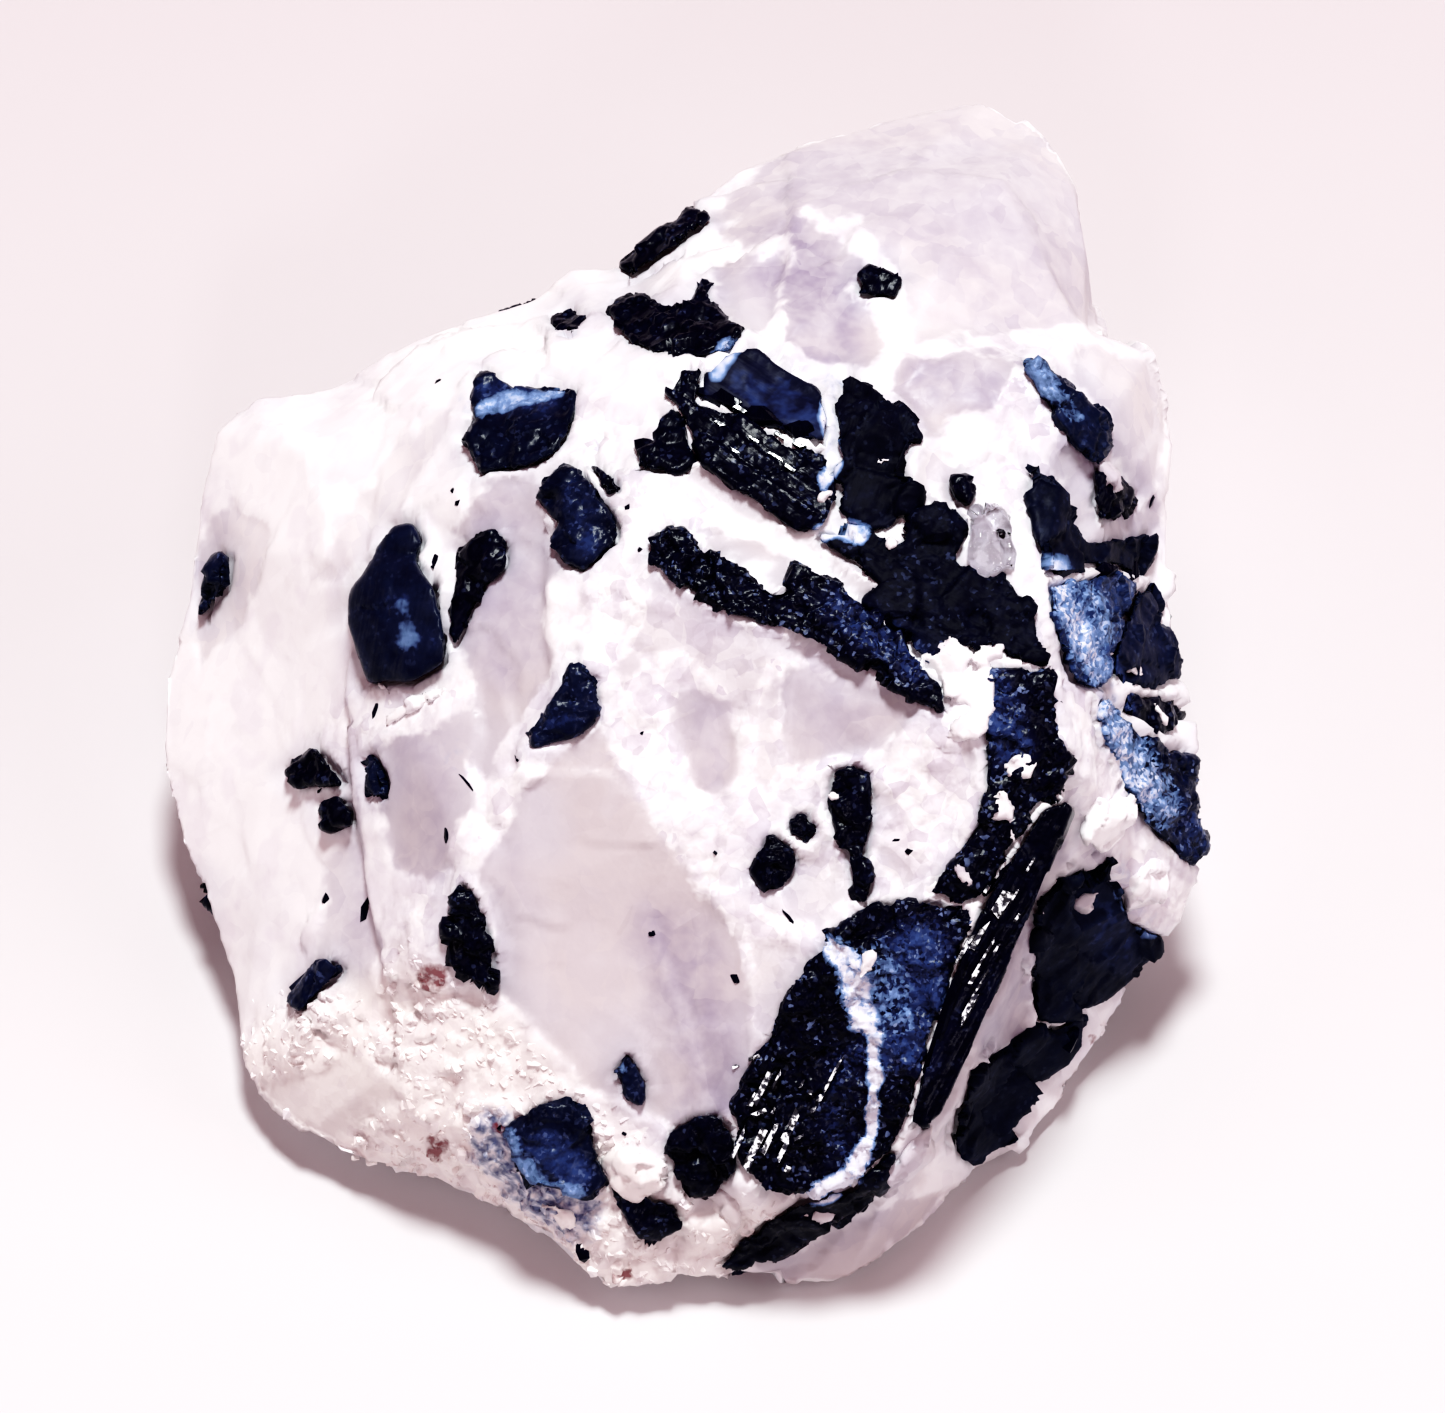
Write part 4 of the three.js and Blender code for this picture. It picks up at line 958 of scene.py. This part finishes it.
def ribs(along, across, width, height, salt):
    """Relief of narrow strips that run along a crystal, each with a lean of its own."""
    rows = np.stack([across, along / 9, np.zeros_like(across)], axis=1)
    position = (across + 0.25 * width * value_noise(rows, 2 * width, salt)) / width
    strip = np.floor(position).astype(np.int64)
    length = np.floor(along / (7 * width) + 3 * (strip % 7) / 7).astype(np.int64)
    cells = np.stack([strip, length, np.zeros_like(strip)], axis=1)
    lean = hashed(cells, salt + 3) - 0.5
    return height * ((hashed(cells, salt + 2) - 0.5) + 2 * lean * (position - strip - 0.5))


BASE_BLUE = {"tourmaline_black": 0.15, "tourmaline_blue": 0.4, "tourmaline_frosted": 0.55}
BASE_FROST = {"tourmaline_black": 0.0, "tourmaline_blue": 0.0, "tourmaline_frosted": 0.1}


def crystal_relief(points, habit, along, across):
    """Ribs along a crystal, broken facets, grains and a jagged skin."""
    relief = ribs(along, across, *habit["rib"], 71)
    size, lean = habit["facet"]
    relief += chips(warped(points, 1.2, 0.15, 70), size, lean, 0.5 * lean * size, 72)
    size, height = habit["grain"]
    relief += chips(points, size, 1.2 * height / size, height * 0.5, 74)
    return relief + chips(points, 1.1, 2 * habit["jag"], habit["jag"], 76)


def ball_rise(points, balls, origin):
    """How far balls stand out of a crystal towards the viewer."""
    spots = to_drawing(points, origin)[:, :2]
    rise = np.zeros(len(points))
    for u, v, radius, height in balls:
        gap = distance_to(spots, u, v) / radius
        rise = np.maximum(rise, height * np.sqrt(np.clip(1 - gap * gap, 0, 1)))
    return rise


def paint_crystal(points, habit, slot, seen, origin):
    """How granular, blue, frosted and matt a crystal is."""
    spots = to_drawing(warped(points, 1.0, 0.25, 78), origin)[:, :2]
    base_blue = BASE_BLUE[slot] if habit["blue"] is None else habit["blue"]
    base_frost = BASE_FROST[slot] if habit["frost"] is None else habit["frost"]
    blue = base_blue + 0.15 * layered_noise(points, 2.0, 80)
    return {
        "grain_and_glints": np.full(len(points), habit["grain_and_glints"]),
        "blue": np.clip(np.maximum(blue, seen * patches(spots, BLUE_PATCHES)), 0, 1),
        "frost": np.maximum(base_frost, seen * patches(spots, FROST_PATCHES)),
        "matt": np.full(len(points), habit["matt"]),
    }


def build_crystal(name, shape, slot, origin):
    habit = {**PLAIN_HABIT, **HABITS.get(name, {})}
    voxel = FINE_VOXEL if name in FINE_CRYSTALS else CRYSTAL_VOXEL
    points, faces = remeshed(*swollen(*shape, CRYSTAL_SWELL), voxel, habit["round"])
    normals = normals_of(points, faces)
    along = points @ drawn_direction(habit["axis"])
    across = points @ drawn_direction(habit["axis"] + 90)
    relief = crystal_relief(points, habit, along, across) - CRYSTAL_SINK
    seen = smoothstep(-0.2, 0.2, normals @ SIGHT)
    rise = seen * ball_rise(points, habit["balls"], origin)
    points = points + relief[:, None] * normals + rise[:, None] * SIGHT
    marks = paint_crystal(points, habit, slot, seen, origin)
    add_piece(name + "_crystal", points, faces, tourmaline_material(slot), slot,
              {**marks, "along": along, "across": across}, node=name)
    return points, faces


def build_lens(name, shape, slot):
    """The small clear grain of quartz."""
    points, faces = remeshed(*swollen(*shape, 2 * CRYSTAL_SWELL), FINE_VOXEL, 2)
    relief = chips(points, 1.4, 0.3, 0.08, 160)
    points = points + relief[:, None] * normals_of(points, faces)
    add_piece(name + "_grain", points, faces, clear_material(), slot, node=name)


# Materials

class Look:
    """A node material under construction, with sizes in millimetres."""

    def __init__(self, name):
        self.material = bpy.data.materials.new(name)
        self.material.use_nodes = True
        self.tree = self.material.node_tree
        self.shader = self.tree.nodes["Principled BSDF"]

    def node(self, kind, inputs=(), **settings):
        node = self.tree.nodes.new(kind)
        for key, value in settings.items():
            setattr(node, key, value)
        for key, value in dict(inputs).items():
            self.feed(node.inputs[key], value)
        return node

    def feed(self, socket, value):
        if isinstance(value, bpy.types.NodeSocket):
            self.tree.links.new(value, socket)
        elif isinstance(value, tuple) and socket.type == "RGBA":
            socket.default_value = (*value, 1)
        else:
            socket.default_value = value

    def set(self, **values):
        for key, value in values.items():
            self.feed(self.shader.inputs[key.replace("_", " ")], value)

    def mark(self, name):
        return self.node("ShaderNodeAttribute", attribute_name=name).outputs["Fac"]

    def mix(self, share, first, second):
        return self.node("ShaderNodeMix", {0: share, 6: first, 7: second},
                         data_type="RGBA").outputs[2]

    def ramp(self, value, low, high, start=0.0, end=1.0):
        return self.node("ShaderNodeMapRange",
                         {0: value, 1: low, 2: high, 3: start, 4: end}).outputs[0]

    def share(self, name, start, end):
        """A mark from 0 to 1 as a value from start to end."""
        return self.ramp(self.mark(name), 0, 1, start, end)

    def sum(self, first, second):
        return self.node("ShaderNodeMath", {0: first, 1: second}).outputs[0]

    def times(self, first, second):
        return self.node("ShaderNodeMath", {0: first, 1: second},
                         operation="MULTIPLY").outputs[0]

    def place(self):
        return self.node("ShaderNodeTexCoord").outputs["Object"]

    def noise(self, size, detail=3.0, roughness=0.5):
        inputs = {"Vector": self.place(), "Scale": 1 / (size * MM), "Detail": detail,
                  "Roughness": roughness}
        return self.node("ShaderNodeTexNoise", inputs).outputs["Fac"]

    def cells(self, size, place=None):
        """One random colour to a cell."""
        inputs = {"Vector": place or self.place(), "Scale": 1 / (size * MM)}
        return self.node("ShaderNodeTexVoronoi", inputs).outputs["Color"]

    def greys(self, size, place):
        """One random number to a cell."""
        return self.node("ShaderNodeSeparateColor", {0: self.cells(size, place)}).outputs[0]

    def shifted(self, vector, colour, amount):
        """A vector moved by a random colour, to every side alike."""
        centred = self.node("ShaderNodeVectorMath", {0: colour, 1: (0.5, 0.5, 0.5)},
                            operation="SUBTRACT").outputs[0]
        step = self.node("ShaderNodeVectorMath", {0: centred, "Scale": amount},
                         operation="SCALE").outputs[0]
        return self.node("ShaderNodeVectorMath", {0: vector, 1: step}).outputs[0]

    def bent(self, size, amount):
        """Places moved by soft noise, so that the walls of cells aren't straight."""
        inputs = {"Vector": self.place(), "Scale": 1 / (size * MM), "Detail": 2.0}
        colour = self.node("ShaderNodeTexNoise", inputs).outputs["Color"]
        return self.shifted(self.place(), colour, amount * MM)

    def faceted(self, normal, size, lean):
        """The normal with small flat facets, each leaning its own way."""
        total = self.shifted(normal, self.cells(size), lean)
        return self.node("ShaderNodeVectorMath", {0: total}, operation="NORMALIZE").outputs[0]

    def bump(self, height, distance, strength=1.0, normal=None):
        inputs = {"Height": height, "Distance": distance * MM, "Strength": strength}
        if normal:
            inputs["Normal"] = normal
        return self.node("ShaderNodeBump", inputs).outputs["Normal"]


_made = {}

QUARTZ_IOR = 1.54
TOURMALINE_IOR = 1.62
WARM_GREY = (0.77, 0.70, 0.72)
COLD_GREY = (0.75, 0.705, 0.76)
MILK_WHITE = (0.94, 0.93, 0.945)
# mauve of the clear depths and of painted shade
DEPTH_AND_SHADE_MAUVE = (0.40, 0.34, 0.46)
CREAM_WHITE = (0.98, 0.92, 0.86)
RUST_RED = (0.20, 0.04, 0.05)


def clear_colour(look, grey, wisps):
    """Clear faces: warm and cold mauve grey, with wisps inside."""
    clearest = look.ramp(look.mark("clearness"), 0.6, 1.0, 1.0, 0.25)
    greyer = look.times(look.ramp(grey, 0.8, 1.6, 0.0, 0.6), clearest)
    colour = look.mix(look.ramp(look.noise(6.0, 1.0), 0.42, 0.6), WARM_GREY, COLD_GREY)
    colour = look.mix(greyer, colour, (0.58, 0.53, 0.62))
    return look.mix(look.ramp(wisps, 0.55, 0.72, 0.0, 0.25), colour, (0.92, 0.90, 0.94))


def milky_colour(look, grey, grains, wisps):
    """Milky parts: white, with grey grains where they are sugary, and painted shade in the grooves
    between them.
    """
    lively = look.share("sugar", 0.15, 1.0)
    greyer = look.times(look.ramp(grey, 1.05, 1.25, 0.0, 0.6), lively)
    greyest = look.times(look.ramp(grains, 0.84, 0.9, 0.0, 0.5), lively)
    colour = look.mix(greyer, MILK_WHITE, (0.70, 0.66, 0.73))
    colour = look.mix(greyest, colour, (0.64, 0.58, 0.67))
    colour = look.mix(look.ramp(wisps, 0.53, 0.6, 0.0, 0.35), colour, (0.78, 0.73, 0.80))
    toned = look.ramp(look.mark("tone"), 0.6, 1.0, 0.0, 0.35)
    colour = look.mix(toned, colour, (0.72, 0.67, 0.74))
    # painted shade in the grooves between grains
    return look.mix(look.share("crevice_shade", 0, 0.4), colour, (0.55, 0.48, 0.57))


def stained_and_shaded_colour(look, colour):
    """A colour of the quartz with painted shade next to the crystals, under its cream, blue and rusty
    stains.
    """
    small = look.noise(0.4, 2.0)
    # painted shade next to the crystals
    colour = look.mix(look.share("shade_beside_crystals", 0, 0.15), colour, (0.30, 0.34, 0.50))
    colour = look.mix(look.share("cream", 0, 0.5), colour, CREAM_WHITE)
    speckle = look.times(look.mark("stain"), small)
    colour = look.mix(look.ramp(speckle, 0.2, 0.5, 0, 0.5), colour, (0.30, 0.38, 0.60))
    colour = look.mix(look.ramp(speckle, 0.36, 0.62, 0, 0.9), colour, (0.06, 0.085, 0.19))
    rusty = look.times(look.mark("rust"), small)
    return look.mix(look.ramp(rusty, 0.25, 0.5, 0, 0.9), colour, RUST_RED)


def quartz_material():
    if "quartz" in _made:
        return _made["quartz"]
    look = Look("quartz")
    uneven = look.noise(1.0, 2.0, 0.6)
    wisps = look.noise(2.6, 2.0, 0.6)
    clear = look.sum(look.mark("depth"), look.ramp(uneven, 0.2, 0.8, -0.35, 0.35))
    clear = look.times(look.ramp(clear, -0.1, 0.15), look.mark("clearness"))
    # grown grains, large and small, each with a greyness of its own
    bent = look.bent(1.5, 0.9)
    grains = look.greys(0.8, bent)
    grey = look.sum(look.greys(2.4, bent), grains)
    colour = look.mix(clear, milky_colour(look, grey, grains, wisps),
                      clear_colour(look, grey, wisps))
    # mauve where the quartz is deep and where shade is painted, strongest on the clear faces
    patchiness = look.sum(look.ramp(uneven, 0.35, 0.65, 0.3, 0.8),
                      look.ramp(grey, 0.4, 1.6, 0.0, 0.35))
    depth_and_shade_share = look.times(look.times(look.mark("depth_and_shade"), patchiness), look.ramp(clear, 0, 1, 0.45, 1.0))
    colour = stained_and_shaded_colour(look, look.mix(depth_and_shade_share, colour, DEPTH_AND_SHADE_MAUVE))
    look.set(Base_Color=colour, Roughness=look.ramp(clear, 0, 1, 0.35, 0.4),
             Transmission_Weight=look.ramp(clear, 0, 1, 0.0, 0.2), IOR=QUARTZ_IOR,
             Specular_IOR_Level=0.35)
    sugary = look.times(look.mark("sugar"), look.ramp(clear, 0, 1, 1.0, 0.1))
    rough = look.bump(look.noise(0.3, 1.0), 0.06, look.ramp(sugary, 0, 1, 0.1, 0.35))
    wide = look.faceted(rough, 1.3, look.ramp(sugary, 0, 1, 0.06, 0.2))
    look.set(Normal=look.faceted(wide, 0.45, look.ramp(sugary, 0, 1, 0.02, 0.25)))
    _made["quartz"] = look.material
    return look.material


TOURMALINE_TONES = {
    "tourmaline_black": ((0.0010, 0.0014, 0.012), (0.010, 0.013, 0.042)),
    "tourmaline_blue": ((0.003, 0.005, 0.020), (0.013, 0.020, 0.058)),
    "tourmaline_frosted": ((0.008, 0.013, 0.040), (0.035, 0.06, 0.15)),
}
BRIGHT_BLUE = (0.06, 0.10, 0.25)
# colour of the painted glints
GLINT_BLUE = (0.17, 0.22, 0.38)
PALE_BLUE = (0.21, 0.33, 0.60)
DUST_WHITE = (0.78, 0.80, 0.90)


def tourmaline_colour(look, slot, grain_and_glints, frost, uneven, cloud, grain):
    """Black to blue, with pale dots of painted glints, and frosted with fine quartz."""
    dark, navy = TOURMALINE_TONES[slot]
    blue = look.sum(look.mark("blue"), uneven)
    colour = look.mix(look.ramp(blue, 0.1, 0.7), dark, navy)
    colour = look.mix(look.ramp(blue, 0.6, 1.15), colour, BRIGHT_BLUE)
    # painted glints: pale blue dots for the sparkle of tiny facets, most of them in the blue parts
    glint_dots = look.times(look.ramp(grain, 0.88, 0.94), grain_and_glints)
    glint_dots = look.times(glint_dots, look.ramp(cloud, 0.42, 0.6, 0.1, 0.8))
    glint_dots = look.times(glint_dots, look.ramp(blue, 0.1, 0.7, 0.3, 1.2))
    colour = look.mix(glint_dots, colour, GLINT_BLUE)
    colour = look.mix(look.ramp(frost, 0.25, 0.6), colour, PALE_BLUE)
    return look.mix(look.ramp(frost, 0.55, 0.85), colour, DUST_WHITE)


def tourmaline_material(slot):
    if slot in _made:
        return _made[slot]
    look = Look(slot)
    # how grainy the crystal is, and how many glints are painted on it
    grain_and_glints = look.mark("grain_and_glints")
    cloud = look.noise(0.8, 2.0, 0.65)
    grain = look.greys(0.15, look.bent(0.3, 0.15))
    speckle = look.times(look.ramp(grain, 0, 1, -0.2, 0.2), grain_and_glints)
    uneven = look.sum(look.ramp(cloud, 0.3, 0.7, -0.15, 0.15), speckle)
    frost = look.mark("frost")
    frost = look.sum(frost, look.times(uneven, look.ramp(frost, 0, 0.25)))
    dull = look.sum(look.ramp(frost, 0.2, 0.7, 0.17, 0.6), look.share("matt", 0, 0.55))
    look.set(Base_Color=tourmaline_colour(look, slot, grain_and_glints, frost, uneven, cloud, grain),
             Roughness=dull, IOR=TOURMALINE_IOR, Specular_IOR_Level=0.11)
    # fine stripes along the crystal
    drawn_out = look.ramp(look.mark("along"), 0, 100, 0, 5)
    strand = look.node("ShaderNodeCombineXYZ", {0: look.mark("across"), 1: drawn_out}).outputs[0]
    fine = look.node("ShaderNodeTexNoise", {"Vector": strand, "Scale": 6.0, "Detail": 1.0,
                                            "Roughness": 0.6}).outputs["Fac"]
    striped = look.bump(fine, 0.06, 0.35)
    rough = look.bump(look.noise(0.22, 1.0), 0.03, look.ramp(grain_and_glints, 0, 1, 0.1, 0.4), striped)
    look.set(Normal=look.faceted(rough, 0.24, look.ramp(grain_and_glints, 0, 1, 0.06, 0.3)))
    _made[slot] = look.material
    return look.material


def lath_material():
    look = Look("tourmaline_laths")
    colour = look.mix(look.ramp(look.noise(0.3), 0.35, 0.65), (0.002, 0.003, 0.008),
                      (0.010, 0.014, 0.035))
    look.set(Base_Color=colour, Roughness=look.ramp(look.noise(0.22, 2.0), 0.44, 0.58, 0.1, 0.5),
             IOR=TOURMALINE_IOR, Specular_IOR_Level=0.5,
             Normal=look.bump(look.noise(0.2, 3.0), 0.01, 0.3))
    return look.material


def clear_material():
    look = Look("clear_quartz")
    look.set(Base_Color=(0.86, 0.84, 0.91), Roughness=0.06, IOR=QUARTZ_IOR,
             Transmission_Weight=1.0)
    return look.material


# Stage

def build_floor():
    corners = np.array([(-1, -1, 0), (1, -1, 0), (1, 1, 0), (-1, 1, 0)]) * FLOOR_HALF
    corners[:, 2] = -FLOOR_DEPTH
    mesh = make_mesh("floor", corners * MM, np.array([[0, 1, 2, 3]]), False)
    look = Look("floor")
    depth = look.node("ShaderNodeSeparateXYZ", {0: look.place()}).outputs["Y"]
    # painted shade: the floor goes darker and pinker towards the back
    cloth_with_shade = look.mix(look.ramp(depth, -0.02, 0.04), NEAR_CLOTH, SHADED_FAR_CLOTH)
    look.set(Base_Color=cloth_with_shade, Roughness=0.9, Specular_IOR_Level=0.1)
    mesh.materials.append(look.material)
    floor = bpy.data.objects.new("floor", mesh)
    bpy.context.scene.collection.objects.link(floor)


# Name, kind, place and size in millimetres, power and colour
LAMPS = [
    ("sky_light", "SUN", (20, 125, 700), 150, 3.35, (0.945, 1.0, 0.99)),
    ("right_light", "AREA", (420, -100, 330), 300, 0.7, (1.0, 0.97, 1.0)),
    ("left_light", "AREA", (-380, -140, 430), 300, 0.3, (1.0, 0.94, 0.96)),
    ("window_light", "AREA", (0, -460, 350), 70, 0.35, (1.0, 0.96, 1.0)),
]


def build_light():
    """A dim sky and the lamps."""
    world = bpy.data.worlds.new("studio")
    world.use_nodes = True
    background = world.node_tree.nodes["Background"]
    background.inputs["Color"].default_value = (*SKY_COLOUR, 1)
    background.inputs["Strength"].default_value = SKY_STRENGTH
    bpy.context.scene.world = world
    for name, kind, place, size, power, colour in LAMPS:
        lamp = bpy.data.lights.new(name, kind)
        lamp.energy = power
        lamp.color = colour
        if kind == "SUN":
            lamp.angle = size / np.linalg.norm(place)
        else:
            lamp.size = size * MM
        item = bpy.data.objects.new(name, lamp)
        item.location = Vector(place) * MM
        item.rotation_euler = item.location.to_track_quat("Z", "Y").to_euler()
        bpy.context.scene.collection.objects.link(item)


def build_camera(origin):
    data = bpy.data.cameras.new("camera")
    data.sensor_width = SENSOR
    data.lens = SENSOR * CAMERA_DISTANCE / PICTURE_WIDTH
    data.clip_start = 0.01
    data.clip_end = 20.0
    camera = bpy.data.objects.new("camera", data)
    target = from_drawing(PICTURE_CENTRE, origin)
    camera.location = Vector(target + CAMERA_DISTANCE * SIGHT) * MM
    camera.rotation_euler = Vector(SIGHT).to_track_quat("Z", "Y").to_euler()
    bpy.context.scene.collection.objects.link(camera)
    bpy.context.scene.camera = camera


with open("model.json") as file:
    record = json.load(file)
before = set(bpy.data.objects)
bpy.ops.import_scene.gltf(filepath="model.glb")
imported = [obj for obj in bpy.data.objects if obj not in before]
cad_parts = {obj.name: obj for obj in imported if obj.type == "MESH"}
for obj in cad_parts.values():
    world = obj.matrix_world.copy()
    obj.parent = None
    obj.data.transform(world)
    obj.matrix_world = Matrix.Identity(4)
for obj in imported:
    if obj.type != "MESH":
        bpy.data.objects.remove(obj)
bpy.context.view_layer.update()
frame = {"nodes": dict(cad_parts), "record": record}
origin = drawing_origin()
slots = {row["node"]: row["material_slot"] for row in frame["record"]["subparts"]}
shapes = {name: node_arrays(node) for name, node in sorted(frame["nodes"].items())}

build_camera(origin)
build_floor()
build_light()
stone = build_quartz(shapes, origin)
skins = [tree_of(*stone[:2])]
for name, shape in shapes.items():
    if name == "clear_lens":
        build_lens(name, shape, slots[name])
    elif name != "quartz":
        skins.append(tree_of(*build_crystal(name, shape, slots[name], origin)))
build_grains(stone)
build_blocks(origin, skins)
build_specks(origin, skins)
build_laths(origin, skins)

scene = bpy.context.scene
scene.view_settings.view_transform = "Standard"
scene.view_settings.use_curve_mapping = True
tone_curve = scene.view_settings.curve_mapping.curves[3]
for place, level in TONES:
    tone_curve.points.new(place, level)
scene.view_settings.curve_mapping.update()
